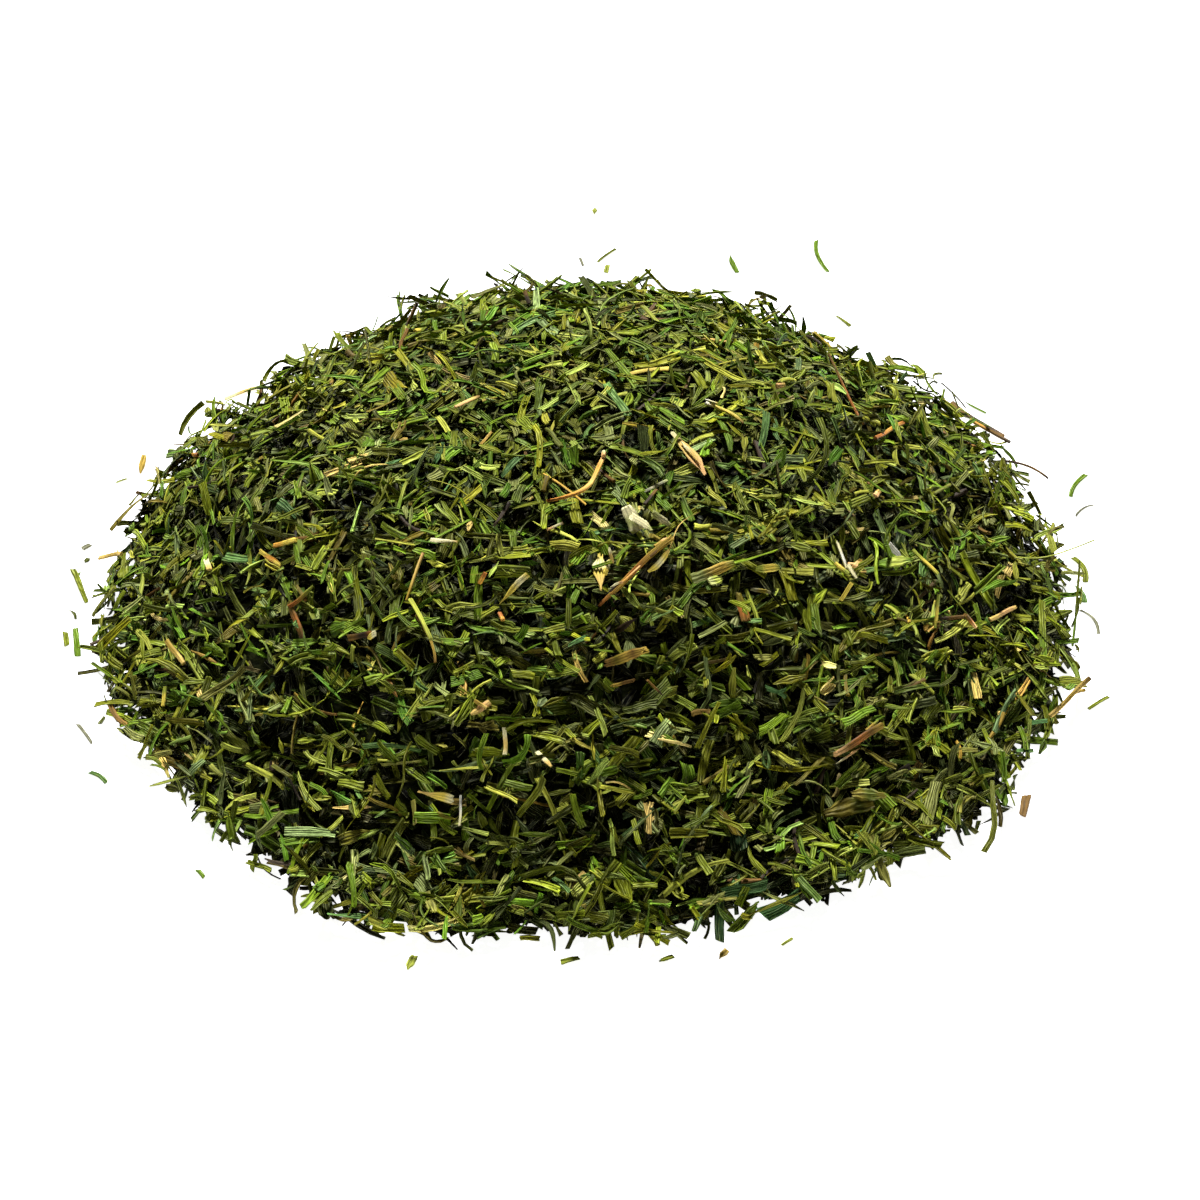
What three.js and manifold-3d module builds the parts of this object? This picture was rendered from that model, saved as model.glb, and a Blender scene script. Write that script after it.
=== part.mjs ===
// A heap of dried, cut dill weed, poured out on a table: a low dome of short leaf flakes, with a few
// straw-coloured stem bits and papery scraps lying in it, and loose flakes round its foot. Millimetres,
// +Z up. The origin is the middle of the heap's foot, on the table.
//
// The heap's own leaf flakes are one solid: a core, and blades about three times as large as the true
// flakes, which cover it and stand out of it. The scraps in the heap and the loose flakes on the table
// are separate solids.
import * as THREE from "three";
import { mergeVertices } from "three/addons/utils/BufferGeometryUtils.js";
import Module from "manifold-3d";

// Driving dimensions of the heap
const HEAP_WIDTH = 108.4; // across, along X
const HEAP_DEPTH = 114.4; // front to back, along Y
const HEAP_HEIGHT = 26.5; // of the dome, before flakes stand out of it
const DOME_POWER = 2.05; // 2 is a round dome, and more has a flatter top
const RIM_POWER = 1.08; // above 1, the rim runs out thinly
const RIM_LOBES = [
  // where the foot runs out further or less far: degrees round from +X, half width in degrees, and share
  // of the radius
  { at: -109, wide: 13, by: 0.055 },
  { at: -47, wide: 14, by: 0.025 },
  { at: -143, wide: 12, by: -0.022 },
  { at: 2, wide: 9, by: -0.02 },
];
const HOLLOWS = [
  // dips between clumps of flakes
  { x: 14, y: -32, radius: 5, depth: 1.6 },
  { x: 4, y: -30, radius: 4, depth: 1.2 },
  { x: -22, y: -33, radius: 5, depth: 1.4 },
  { x: 21, y: -42, radius: 4, depth: 1.2 },
  { x: -14, y: -1, radius: 5, depth: 1.2 },
  { x: 10, y: -1, radius: 5, depth: 1.0 },
];
const CLUMP_HEIGHT = 0.7; // how far the flakes' uneven packing lifts or sinks the dome
const CLUMP_SPAN = 9; // about half the distance from one clump to the next

// Driving dimensions of the blades that stand for the heap's leaf flakes
const CORE_DEPTH = 0.2; // how far the core lies under the dome
const CORE_RINGS = 6;
const CORE_SECTORS = 20;
const BLADE_COUNT = 340;
const BLADE_LENGTH = [6.5, 10.5];
const BLADE_WIDTH = [2.1, 3.3];
const BLADE_THICKNESS = [1.2, 1.7];
const BLADE_BEND = 0.9; // the most that a bent blade's middle stands off its chord
const BENT_SHARE = 0.15; // of the blades
const BLADE_RISE = 0.85; // how far a blade's upper face stands over the dome
const BLADE_LIFT = 34; // the most that a blade's free end rises, in degrees
const BLADE_HINGE = 0.35; // where it rises from: how far behind its middle, as a share of its length
const HEADINGS_TRIED = 24; // for each blade, to find the one that crosses its neighbours least
const OVERHANG_COST = 3; // how much more an overhang past the foot's edge counts than room between blades
const RIM_REACH = 0.98; // how far out the outermost blades lie, as a share of the foot
const SPREAD_POWER = 0.45; // 0.5 spreads the blades evenly in plan, and less sets more on the steep flank

const BED_GROWTH = 0.45; // how much larger than its scrap a bed is all round, before its walls lean in
const TABLE_SLAB = 20; // thickness of what is cut away under the table's surface
const SCRAP_SINK = 0.15; // how far a scrap is pressed into the dome
const FLAKE_THICKNESS = 0.6; // of a loose flake on the table

// Straw-coloured stem bits, brown stem bits and papery scraps that lie in the heap. x, y: the middle.
// turn: the heading of its length in degrees from +X. bow: how far its middle stands aside of its chord.
const SCRAPS = [
  // name, kind, x, y, turn, length, width, thick, bow
  ["curved_straw_stem", "straw", -0.6, -13.7, 51, 9.0, 0.8, 0.7, -1.9],
  ["papery_sheath", "paper", 11.1, -9.7, -59, 6.5, 1.3, 0.8, 0],
  ["split_straw_stem", "straw", 14.9, -2.3, -42, 5.2, 0.7, 0.7, 0.3],
  ["long_brown_stem", "brown", 5.5, -24.6, 50, 9.6, 0.9, 0.8, 0],
  ["forked_straw_scrap", "straw", 1.8, -24.4, 85, 4.6, 1.6, 0.8, 0.3],
  ["short_straw_stem_1", "straw", 8.0, -24.2, 51, 3.1, 0.8, 0.7, -0.3],
  ["short_straw_stem_2", "straw", -11.9, 0.4, 49, 3.6, 0.7, 0.7, 0],
  ["short_straw_stem_3", "straw", -16.5, -23.6, 58, 5.2, 0.8, 0.7, 0],
  ["short_straw_stem_4", "straw", -30.9, -13.7, -14, 3.4, 1.2, 0.8, 0],
  ["short_straw_stem_5", "straw", -6.9, -26.9, 46, 4.1, 0.9, 0.8, 0],
  ["cream_leaf_scrap", "paper", 5.6, -18.9, -46, 3.3, 1.4, 0.7, 0],
  ["broad_straw_scrap", "paper", -14.2, -45.6, -15, 3.4, 1.1, 0.7, 0],
  ["brown_stem_right", "brown", 27.7, -37.9, 41, 6.1, 1.0, 0.9, 0],
  ["brown_stem_left", "brown", -28.3, -23.7, -83, 5.3, 0.8, 0.8, 0],
  ["striped_stem_front", "paper", 4.4, -35.7, -3, 4.0, 1.6, 0.9, 0],
  ["pale_straw_right_1", "paper", 26.7, -18.1, -68, 3.0, 0.8, 0.7, 0.2],
  ["pale_straw_right_2", "straw", 38.3, -19.8, -5, 3.8, 0.8, 0.7, 0],
  ["olive_leaf_scrap", "olive", 27.3, -43.0, 10, 5.6, 2.0, 0.7, 0],
].map(([name, kind, x, y, turn, length, width, thick, bow]) => {
  return { name, kind, x, y, turn, length, width, thick, bow };
});

// Flakes that lie on the table round the foot. x, y: the middle. turn: heading in degrees from +X. bow: how
// far the middle stands aside of its chord. All are leaf but the last, which is a brown capsule.
const LOOSE_FLAKES = [
  // kind, x, y, turn, length, width, bow
  ["leaf", -55.6, 1.2, -70, 6.3, 0.7, 0],
  ["leaf", -55.9, -3.9, -61, 1.8, 0.6, 0.2],
  ["leaf", -54.9, -8.8, -81, 4.8, 0.7, 0],
  ["leaf", -56.1, -8.2, -79, 2.3, 0.6, 0],
  ["leaf", -55.6, 8.3, 44, 1.1, 0.7, 0],
  ["leaf", -55.3, 5.8, 71, 0.8, 0.7, 0],
  ["leaf", -52.9, 20.9, 33, 1.4, 0.6, 0],
  ["leaf", -50.8, 24.0, 88, 3.5, 0.7, 0],
  ["leaf", -50.8, -22.0, 70, 1.2, 0.6, 0],
  ["leaf", -52.4, -24.2, -60, 3.6, 0.6, 0],
  ["leaf", -50.3, -31.3, -41, 2.5, 0.7, 0.2],
  ["leaf", -38.4, -46.2, -57, 1.3, 0.6, 0],
  ["leaf", -16.7, -59.3, 72, 2.0, 0.8, 0],
  ["leaf", -1.1, -58.9, 19, 1.9, 0.7, 0],
  ["leaf", 8.4, -58.7, 29, 1.6, 0.7, 0],
  ["leaf", 14.0, -58.1, 59, 1.5, 0.8, 0],
  ["leaf", 20.4, -56.2, 42, 1.5, 0.6, 0],
  ["leaf", 54.9, -19.1, 41, 3.1, 0.6, 0],
  ["leaf", 55.3, -5.2, -69, 4.4, 0.6, 0.5],
  ["leaf", 56.5, 19.9, 63, 4.7, 0.6, 0.3],
  ["leaf", 56.8, 15.2, 43, 3.1, 0.6, 0.3],
  ["leaf", 55.1, 4.1, -78, 4.5, 0.7, 0.5],
  ["leaf", 54.7, -0.2, -74, 3.2, 0.7, 0.2],
  ["leaf", 45.9, 35.5, -46, 3.4, 0.6, -0.2],
  ["leaf", 1.2, 78.2, 85, 1.4, 0.7, 0],
  ["leaf", 2.7, 68.1, 53, 3.7, 0.6, 0],
  ["leaf", -0.4, 66.6, -78, 1.8, 0.6, 0],
  ["leaf", 2.7, 65.0, 81, 1.6, 0.6, 0],
  ["leaf", 18.4, 66.2, -79, 4.1, 0.7, -0.2],
  ["leaf", 29.4, 67.9, -81, 7.1, 0.6, -0.6],
  ["leaf", 31.3, 53.5, -54, 2.7, 0.6, 0],
  ["brown", 45.6, -35.8, 77, 3.2, 0.8, 0],
].map(([kind, x, y, turn, length, width, bow]) => ({ kind, x, y, turn, length, width, bow }));

const LEAF_GREEN = new THREE.MeshStandardMaterial({ color: 0x4c5c1e, roughness: 0.72, metalness: 0 });
const STRAW = new THREE.MeshStandardMaterial({ color: 0xc2a253, roughness: 0.6, metalness: 0 });
const PAPER = new THREE.MeshStandardMaterial({ color: 0xcdb27c, roughness: 0.75, metalness: 0 });
const BROWN = new THREE.MeshStandardMaterial({ color: 0x8a5a2c, roughness: 0.65, metalness: 0 });
const OLIVE = new THREE.MeshStandardMaterial({ color: 0x5a5620, roughness: 0.72, metalness: 0 });
const MATERIALS = { leaf: LEAF_GREEN, straw: STRAW, paper: PAPER, brown: BROWN, olive: OLIVE };

const wasm = await Module();
wasm.setup();

// ---- helpers ----

const degrees = THREE.MathUtils.degToRad;
const GOLDEN_TURN = Math.PI * (3 - Math.sqrt(5));

/** Random numbers from 0 to 1, the same ones each time. */
function seeded(seed) {
  let state = seed >>> 0;
  return () => {
    state = (state + 0x6d2b79f5) >>> 0;
    let mixed = Math.imul(state ^ (state >>> 15), state | 1);
    mixed ^= mixed + Math.imul(mixed ^ (mixed >>> 7), mixed | 61);
    return ((mixed ^ (mixed >>> 14)) >>> 0) / 4294967296;
  };
}

const between = (random, [low, high]) => low + (high - low) * random();

/** A closed geometry as a solid that can be joined and cut. */
function solidOf(geometry) {
  const bare = geometry.clone();
  bare.deleteAttribute("normal");
  bare.deleteAttribute("uv");
  const merged = mergeVertices(bare, 1e-3);
  const vertProperties = merged.attributes.position.array;
  return new wasm.Manifold(new wasm.Mesh({ numProp: 3, vertProperties, triVerts: merged.index.array }));
}

/** A solid as a geometry for a mesh. */
function geometryOf(solid) {
  const mesh = solid.getMesh();
  const geometry = new THREE.BufferGeometry();
  geometry.setAttribute("position", new THREE.BufferAttribute(mesh.vertProperties.slice(), 3));
  geometry.setIndex(new THREE.BufferAttribute(mesh.triVerts.slice(), 1));
  return geometry;
}

/** A solid's largest outer shell: crumbs that cuts leave are dropped, and sealed hollows are filled. */
function outerShell(solid) {
  const shells = new wasm.Manifold(solid.getMesh()).decompose();
  return shells.reduce((best, shell) => (shell.volume() > best.volume() ? shell : best));
}

// ---- the dome ----

/** The distance from the heap's middle to the edge of its foot, at an angle round from +X. */
function rimRadius(angle) {
  const ellipse = 1 / Math.hypot(Math.cos(angle) / (HEAP_WIDTH / 2), Math.sin(angle) / (HEAP_DEPTH / 2));
  let reach = 1;
  for (const lobe of RIM_LOBES) {
    const past = THREE.MathUtils.radToDeg(angle) - lobe.at;
    const aside = THREE.MathUtils.euclideanModulo(past + 180, 360) - 180;
    reach += lobe.by * Math.exp(-((aside / lobe.wide) ** 2));
  }
  return ellipse * reach;
}

/** The dome's height over a place on the table. */
function domeHeight(x, y) {
  const share = Math.hypot(x, y) / rimRadius(Math.atan2(y, x));
  if (share >= 1) return 0;
  const dome = HEAP_HEIGHT * (1 - share ** DOME_POWER) ** RIM_POWER;
  const wave = x / CLUMP_SPAN + 0.6 * Math.sin(y / CLUMP_SPAN);
  const clumps = Math.sin(wave) * Math.cos(y / CLUMP_SPAN + x / (3 * CLUMP_SPAN));
  let dips = 0;
  for (const hollow of HOLLOWS) {
    const away = Math.hypot(x - hollow.x, y - hollow.y) / hollow.radius;
    dips += hollow.depth * Math.exp(-(away ** 2));
  }
  const fade = 1 - share ** 4; // the rim stays even
  return Math.max(0, dome + (CLUMP_HEIGHT * clumps - dips) * fade);
}

/** A frame on the dome: its origin on the surface, Z along the surface's normal, X along the heading. */
function domeFrame(x, y, turn) {
  const step = 1.5;
  const slopeX = (domeHeight(x + step, y) - domeHeight(x - step, y)) / (2 * step);
  const slopeY = (domeHeight(x, y + step) - domeHeight(x, y - step)) / (2 * step);
  const up = new THREE.Vector3(-slopeX, -slopeY, 1).normalize();
  const along = new THREE.Vector3(Math.cos(turn), Math.sin(turn), 0);
  along.addScaledVector(up, -along.dot(up)).normalize();
  const across = new THREE.Vector3().crossVectors(up, along);
  return new THREE.Matrix4().makeBasis(along, across, up).setPosition(x, y, domeHeight(x, y));
}

/** The core under the blades: a closed dome with a flat foot, smaller than the heap by the core's depth. */
function coreSolid() {
  const profile = [new THREE.Vector2(0, 1)];
  for (let ring = 1; ring <= CORE_RINGS; ring++) profile.push(new THREE.Vector2(ring / CORE_RINGS, 0.5));
  profile.push(new THREE.Vector2(0, 0));
  const core = new THREE.LatheGeometry(profile.reverse(), CORE_SECTORS).rotateX(Math.PI / 2);
  const place = core.attributes.position;
  for (let i = 0; i < place.count; i++) {
    const share = Math.hypot(place.getX(i), place.getY(i));
    const angle = Math.atan2(place.getY(i), place.getX(i));
    const radius = share * (rimRadius(angle) - 2 * CORE_DEPTH);
    const x = radius * Math.cos(angle);
    const y = radius * Math.sin(angle);
    const onFoot = place.getZ(i) < 0.25 || share > 0.999;
    place.setXYZ(i, x, y, onFoot ? 0 : Math.max(0.6, domeHeight(x, y) - CORE_DEPTH));
  }
  return solidOf(core);
}

// ---- blades, stem bits and flakes ----

// Sections of a strip, as [side, rise] in shares of its width and thickness, counter-clockwise seen from
// its far end
const FLAT_BELOW = [
  [-0.5, -0.5],
  [0.5, -0.5],
  [0.3, 0.5],
  [-0.3, 0.5],
];
const KEEL_BELOW = [
  [-0.5, 0.5],
  [0, -0.5],
  [0.5, 0.5],
];

/**
 * A strip along X, cut square or slanting at its ends, and tapered towards its far end. Its middle is at
 * the origin, at half its thickness. It is bent sideways, and its middle stands off its chord by bow.
 */
function stripGeometry(strip) {
  const { section, length, width, thick } = strip;
  const { bow = 0, chord = length, slant = 0, taper = 1, stations = 2 } = strip;
  const points = [];
  for (let i = 0; i < stations; i++) {
    const along = i / (stations - 1) - 0.5;
    const hump = 1 - 4 * ((along * length) / chord) ** 2;
    const half = width * THREE.MathUtils.lerp(1, taper, i / (stations - 1));
    for (const [side, rise] of section) {
      points.push(along * length + side * slant * width, bow * hump + side * half, rise * thick);
    }
  }
  const sides = section.length;
  const faces = [];
  for (let i = 0; i < stations - 1; i++) {
    for (let k = 0; k < sides; k++) {
      const a = i * sides + k;
      const b = i * sides + ((k + 1) % sides);
      faces.push(a, b, a + sides, b, b + sides, a + sides);
    }
  }
  const last = (stations - 1) * sides;
  for (let k = 1; k < sides - 1; k++) {
    faces.push(0, k + 1, k);
    faces.push(last, last + k, last + k + 1);
  }
  const geometry = new THREE.BufferGeometry();
  geometry.setAttribute("position", new THREE.Float32BufferAttribute(points, 3));
  geometry.setIndex(faces);
  return geometry;
}

/** Points along a strip's middle line in plan, for measuring how near two strips come. */
function spine(x, y, turn, length) {
  return [-0.5, -0.25, 0, 0.25, 0.5].map((along) => [
    x + along * length * Math.cos(turn),
    y + along * length * Math.sin(turn),
  ]);
}

/** How far a strip's spine reaches out past the edge of the foot, or 0. */
function overhangOf(points) {
  return Math.max(0, ...points.map(([x, y]) => Math.hypot(x, y) - rimRadius(Math.atan2(y, x))));
}

/** The least distance from a strip's spine to those laid so far, at most the longest blade's length. */
function clearanceOf(points, laid) {
  let least = BLADE_LENGTH[1];
  for (const other of laid) {
    for (const [ax, ay] of points) {
      for (const [bx, by] of other) least = Math.min(least, Math.hypot(ax - bx, ay - by));
    }
  }
  return least;
}

/** The blades that cover the core, spread over the dome, each turned to cross the others least. */
function bladeSolids() {
  const random = seeded(7);
  const laid = [];
  const blades = [];
  for (let k = 0; k < BLADE_COUNT; k++) {
    const share = RIM_REACH * ((k + 0.5) / BLADE_COUNT) ** SPREAD_POWER;
    const angle = k * GOLDEN_TURN;
    const radius = share * rimRadius(angle);
    const x = radius * Math.cos(angle);
    const y = radius * Math.sin(angle);
    const length = between(random, BLADE_LENGTH);
    const thick = between(random, BLADE_THICKNESS);
    const bent = random() < BENT_SHARE;
    const headings = Array.from({ length: HEADINGS_TRIED }, () => 2 * Math.PI * random());
    const spines = headings.map((heading) => spine(x, y, heading, length));
    const fits = spines.map((points) => clearanceOf(points, laid) - OVERHANG_COST * overhangOf(points));
    const best = fits.indexOf(Math.max(...fits));
    const turn = headings[best];
    laid.push(spines[best]);
    const blade = stripGeometry({
      section: KEEL_BELOW,
      length,
      width: between(random, BLADE_WIDTH),
      thick,
      bow: bent ? BLADE_BEND * (2 * random() - 1) : 0,
      slant: random() - 0.5,
      taper: between(random, [0.55, 1]),
      stations: bent ? 3 : 2,
    });
    const lift = degrees(BLADE_LIFT) * random() ** 3;
    const hinge = BLADE_HINGE * length;
    blade.translate(hinge, 0, 0).rotateY(-lift).translate(-hinge, 0, BLADE_RISE - thick / 2);
    blade.applyMatrix4(domeFrame(x, y, turn));
    blades.push(solidOf(blade));
  }
  return blades;
}

/** A scrap's geometry where it lies in the heap, grown by some clearance all round. */
function scrapGeometry(scrap, grow = 0) {
  const geometry = stripGeometry({
    section: FLAT_BELOW,
    length: scrap.length + 2 * grow,
    width: scrap.width + 2 * grow,
    thick: scrap.thick + 2 * grow,
    bow: scrap.bow,
    chord: scrap.length,
    slant: 0.2,
    taper: scrap.kind === "paper" ? 0.7 : 0.9,
    stations: scrap.bow === 0 ? 2 : 5,
  });
  const sunk = scrap.thick / 2 - SCRAP_SINK;
  return geometry.translate(0, 0, sunk).applyMatrix4(domeFrame(scrap.x, scrap.y, degrees(scrap.turn)));
}

/** All the heap's leaf flakes as one solid, standing on the table, with a bed for each scrap. */
function leafHeap() {
  const joined = wasm.Manifold.union([coreSolid(), ...bladeSolids()]);
  const slab = new THREE.BoxGeometry(3 * HEAP_WIDTH, 3 * HEAP_DEPTH, TABLE_SLAB);
  slab.translate(0, 0, -TABLE_SLAB / 2);
  const beds = SCRAPS.map((scrap) => solidOf(scrapGeometry(scrap, BED_GROWTH)));
  return outerShell(joined.subtract(wasm.Manifold.union([solidOf(slab), ...beds])));
}

// ---- the part ----

const heap = new THREE.Group();

const leaves = new THREE.Mesh(geometryOf(leafHeap()), LEAF_GREEN);
leaves.name = "leaf_flake_heap";
heap.add(leaves);

for (const scrap of SCRAPS) {
  const mesh = new THREE.Mesh(scrapGeometry(scrap), MATERIALS[scrap.kind]);
  mesh.name = scrap.name;
  heap.add(mesh);
}

LOOSE_FLAKES.forEach((flake, i) => {
  const stations = flake.bow === 0 ? 2 : 5;
  const form = { section: FLAT_BELOW, thick: FLAKE_THICKNESS, slant: 0.25, stations };
  const mesh = new THREE.Mesh(stripGeometry({ ...flake, ...form }), MATERIALS[flake.kind]);
  mesh.name = `loose_flake_${String(i + 1).padStart(2, "0")}`;
  mesh.position.set(flake.x, flake.y, FLAKE_THICKNESS / 2);
  mesh.rotation.z = degrees(flake.turn);
  heap.add(mesh);
});

export default heap;
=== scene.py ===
import math

import bpy
import numpy as np
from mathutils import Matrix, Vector


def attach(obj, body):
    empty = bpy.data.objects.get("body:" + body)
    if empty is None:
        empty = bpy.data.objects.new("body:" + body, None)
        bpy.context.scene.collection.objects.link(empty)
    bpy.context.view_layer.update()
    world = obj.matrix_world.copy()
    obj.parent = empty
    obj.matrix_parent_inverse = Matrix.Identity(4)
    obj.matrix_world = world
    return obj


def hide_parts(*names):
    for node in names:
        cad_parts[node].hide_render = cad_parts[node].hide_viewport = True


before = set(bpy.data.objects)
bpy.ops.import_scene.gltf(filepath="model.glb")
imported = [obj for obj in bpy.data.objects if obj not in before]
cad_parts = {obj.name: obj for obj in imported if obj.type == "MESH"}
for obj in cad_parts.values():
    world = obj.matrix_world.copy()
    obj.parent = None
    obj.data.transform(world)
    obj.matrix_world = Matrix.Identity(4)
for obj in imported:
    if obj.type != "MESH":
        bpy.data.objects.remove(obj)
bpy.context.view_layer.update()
rng = np.random.default_rng(41)

MM = 0.001  # sizes below are in millimetres, and meshes in metres

# ---- the dome, as the part has it ----

HEAP_WIDTH = 108.4
HEAP_DEPTH = 114.4
HEAP_HEIGHT = 26.5
DOME_POWER = 2.05
RIM_POWER = 1.08
# Where the foot reaches further out or less: at what angle, half how wide, and by what share
RIM_LOBES = [(-109, 13, 0.055), (-47, 14, 0.025), (-143, 12, -0.022), (2, 9, -0.02)]
HOLLOWS = [  # x, y, radius, depth of the dips between clumps of flakes
    (14, -32, 5, 1.6),
    (4, -30, 4, 1.2),
    (-22, -33, 5, 1.4),
    (21, -42, 4, 1.2),
    (-14, -1, 5, 1.2),
    (10, -1, 5, 1.0),
]
CLUMP_HEIGHT = 0.7
CLUMP_SPAN = 9

# ---- where the heap's flakes keep inside that dome ----

RIM_NOTCHES = [  # angle, half how wide, and share, as for the lobes
    (-71, 5, -0.015),
    (-53, 6, -0.03),
    (-98, 8, -0.03),
    (168, 22, -0.055),
    (130, 20, -0.05),
    (50, 15, -0.045),
    (16, 12, -0.045),
]
SINK = 0.8  # how far under the dome the heap is filled up on the whole: single flakes stand above it
SHOULDER_DIP = 1.1  # how much further down that is on the shoulder of the heap
SHOULDER = (0.78, 0.17)  # where that is and half how wide, as shares of the way to the edge of the foot
LUMPS = [(3.1, 0.35), (1.7, 0.25)]  # span and height of the small lumps and dips between flakes
GAP_DEPTH = 1.5  # of the dark gaps between clumps of flakes
GAP_RADIUS = 1.45
DARK_GAPS = [  # as the camera sees them, in parts of the view across and down
    (719, 667), (627, 628), (375, 690), (792, 804), (620, 812),
    (574, 873), (337, 858), (237, 659), (892, 589), (815, 608),
]

# ---- how the heap is filled ----

GRID_STEP = 0.12  # of the map of heights on which the flakes come to rest
GRID_HALF = (64.0, 84.0)
SLOPE_REACH = 12  # steps round a place over which its slope is averaged
SURFACE_REACH = 7  # steps round a flake over which the surface above it is averaged
BED_DEPTH = 3.2  # how far under the dome the first flakes lie
CORE_RINGS = 40
CORE_SECTORS = 96
CORE_REACH = 0.945  # how far the dark core reaches, as a share of the way to the edge of the foot
CORE_WAVES = [(7, 0.012, 0), (17, 0.010, 1)]  # which make its edge ragged: number, height and start
DEEP_STOP = 1.2  # the deep flakes stop this far under the level that the heap is filled to
DEEP_LENGTH = (2.8, 0.3, 1.2, 5.0)  # middle value, spread, least, most
DEEP_WIDTH = (0.85, 0.22, 0.5, 1.4)
# how bright the deep flakes' tints are: painted shade, for their lying under the surface
DEEP_SHADE = 0.7
DEEP_ROLL = 0.2
# Flakes come down in stages: how many, from and to what share of the way to the edge of the foot, and how
# many places are compared for each, of which it takes the emptiest
DEEP_STAGE = (6000, 0, 0.95, 8)
BODY_STAGES = [(7133, 0, 1.0, 8), (3566, 0, 1.0, 24), (820, 0.90, 0.98, 6)]
LAST_STAGES = [(900, 0, 1.0, 24), (420, 0.945, 1.0, 1)]  # once the scraps lie there
PLACES = 5  # tried for each flake before it stays where it stands too proud or lies on a scrap
PROUD = (1.2, 3.0)  # the most that an end is above the filled level: of most flakes, and of standing ones
STANDING = 0.05  # the share of flakes that stand up
ROLL = (0.25, 0.7)  # how far flakes lie turned about their length: all of them, and some on top of that
ROLLED = 0.15  # the share of those
LIFT = (0.3, 0.7)  # how far one end is raised, as a slope: of some flakes, and of standing ones
LIFTED = 0.35  # the share of the first
BROAD_FROM = 0.8  # flakes wider than this lie flat
BROAD_THICKNESS = 0.16
STEM_ROUNDNESS = 0.8  # thickness of a stem bit as a share of its width
NESTING = 0.16  # how far flakes press into each other
SCRAP_NESTING = 0.05
LEAN_TAKEN = 0.6  # the share of the slope across it that a flake takes on
MOST_LEAN = 1.2  # the most of that, as a slope
MOST_TURN = 1.0  # the most turn about its length for which a flake finds room below it
STEEPEST = math.tan(math.radians(42))  # slope along a flake that leans on another
LIFT_ROOM = 0.25  # by what share of its length a raised flake lies higher, for each unit of slope
ALONG = np.array([-1, -0.5, 0, 0.5, 1])  # where a flake is compared with what is kept clear, in half lengths
CLEAR_ROUND = 0.8  # how far round a scrap only few later flakes come to lie
FULLER = 9  # by how much a place that is kept clear counts as fuller than it is
SHADE_DEPTH = 1.2  # how fast painted shade darkens the flakes with each millimetre under the heap's surface
SHADE_FREE = 0.1  # the depth at which that starts
SCRAP_STATIONS = 22  # along a strand of a scrap
BIT_STATIONS = 14  # along a smaller bit or a loose flake
FORK_BOTH = 0.3  # the share of forked flakes with a lobe on both sides
FORK_TURN = (18, 45)  # degrees between a lobe and its flake
FORK_LENGTH = (0.3, 0.6)  # length and width of a lobe, as shares of its flake's
FORK_WIDTH = (0.6, 0.95)
FORK_ROOT = (-0.25, 0.15)  # where it branches off, as shares of the length from the flake's middle

# ---- the camera and the light ----

CAMERA_DISTANCE = 430.0
CAMERA_ELEVATION = 38.0
VIEW_WIDTH = 132.0  # what the picture takes in at that distance
AIM = (1.87, -1.25, 0.0)
TILT = math.radians(CAMERA_ELEVATION)
BACK = np.array([0, -math.cos(TILT), math.sin(TILT)])  # from the aim to the camera
UP = np.array([0, math.sin(TILT), math.cos(TILT)])  # upwards in the view
RIGHT = np.array([1.0, 0, 0])  # to the right in the view
VIEW_PARTS = 1200  # in which places in the view are given, across and down
ALONG_RAY = np.linspace(0.8, 1.4, 5000)[:, None]  # as shares of the way to the plane through the aim
MOST_DRAWN_OUT = 2.2  # times the length that is seen, for a strand that points away from the camera
SENSOR = 36.0
NEAREST = 0.01  # metres
KEY_POWER = 7.5
KEY_ANGLE = math.radians(11)  # how large the lamp looks, which softens its shadows
KEY_FROM = (-0.06, 0.63, 0.77)
ROOM_LIGHT = 0.075
TABLE_GLOW = 0.93  # keeps the table white
TABLE_REACH = 3.0  # metres
TABLE_GAP = 0.00005  # metres between the heap's foot and the table

# ---- colours ----

TINTS = {
    "olive": (0.165, 0.195, 0.007),
    "fresh": (0.115, 0.205, 0.007),
    "bluish": (0.100, 0.190, 0.040),
    "sage": (0.200, 0.225, 0.055),
    "lime": (0.320, 0.360, 0.045),
    "dark": (0.065, 0.080, 0.006),
    "brown": (0.180, 0.098, 0.020),
    "rust": (0.420, 0.150, 0.030),
    "ochre": (0.450, 0.300, 0.045),
    "straw": (0.760, 0.530, 0.140),
    "amber": (0.740, 0.370, 0.055),
    "gold": (0.800, 0.620, 0.090),
    "peach": (0.850, 0.500, 0.190),
    "cream": (0.860, 0.790, 0.420),
    "white": (0.860, 0.840, 0.680),
    "milky": (0.530, 0.560, 0.190),
    "umber": (0.150, 0.120, 0.012),
    "grey": (0.240, 0.240, 0.150),
    "black": (0.048, 0.032, 0.017),
}
LEAF_MIX = [  # share of the flakes, tint, how much it varies
    (0.42, "olive", 0.30),
    (0.20, "fresh", 0.28),
    (0.03, "bluish", 0.20),
    (0.10, "sage", 0.28),
    (0.11, "lime", 0.22),
    (0.10, "dark", 0.25),
    (0.03, "umber", 0.30),
    (0.01, "straw", 0.25),
]
STEM_MIX = [
    (0.03, "straw", 0.20),
    (0.14, "ochre", 0.28),
    (0.48, "lime", 0.30),
    (0.10, "brown", 0.30),
    (0.12, "umber", 0.30),
    (0.13, "black", 0.30),
]
HUE_SPREAD = 0.11
MOST_WARM = 0.08  # for browns, which would turn red
END_SPREAD = 0.25  # how much the ends of a flake are lighter or darker than its middle
TINT_LIMITS = (0.002, 0.9)

# ---- the loose flakes, as the part has them ----

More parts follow.
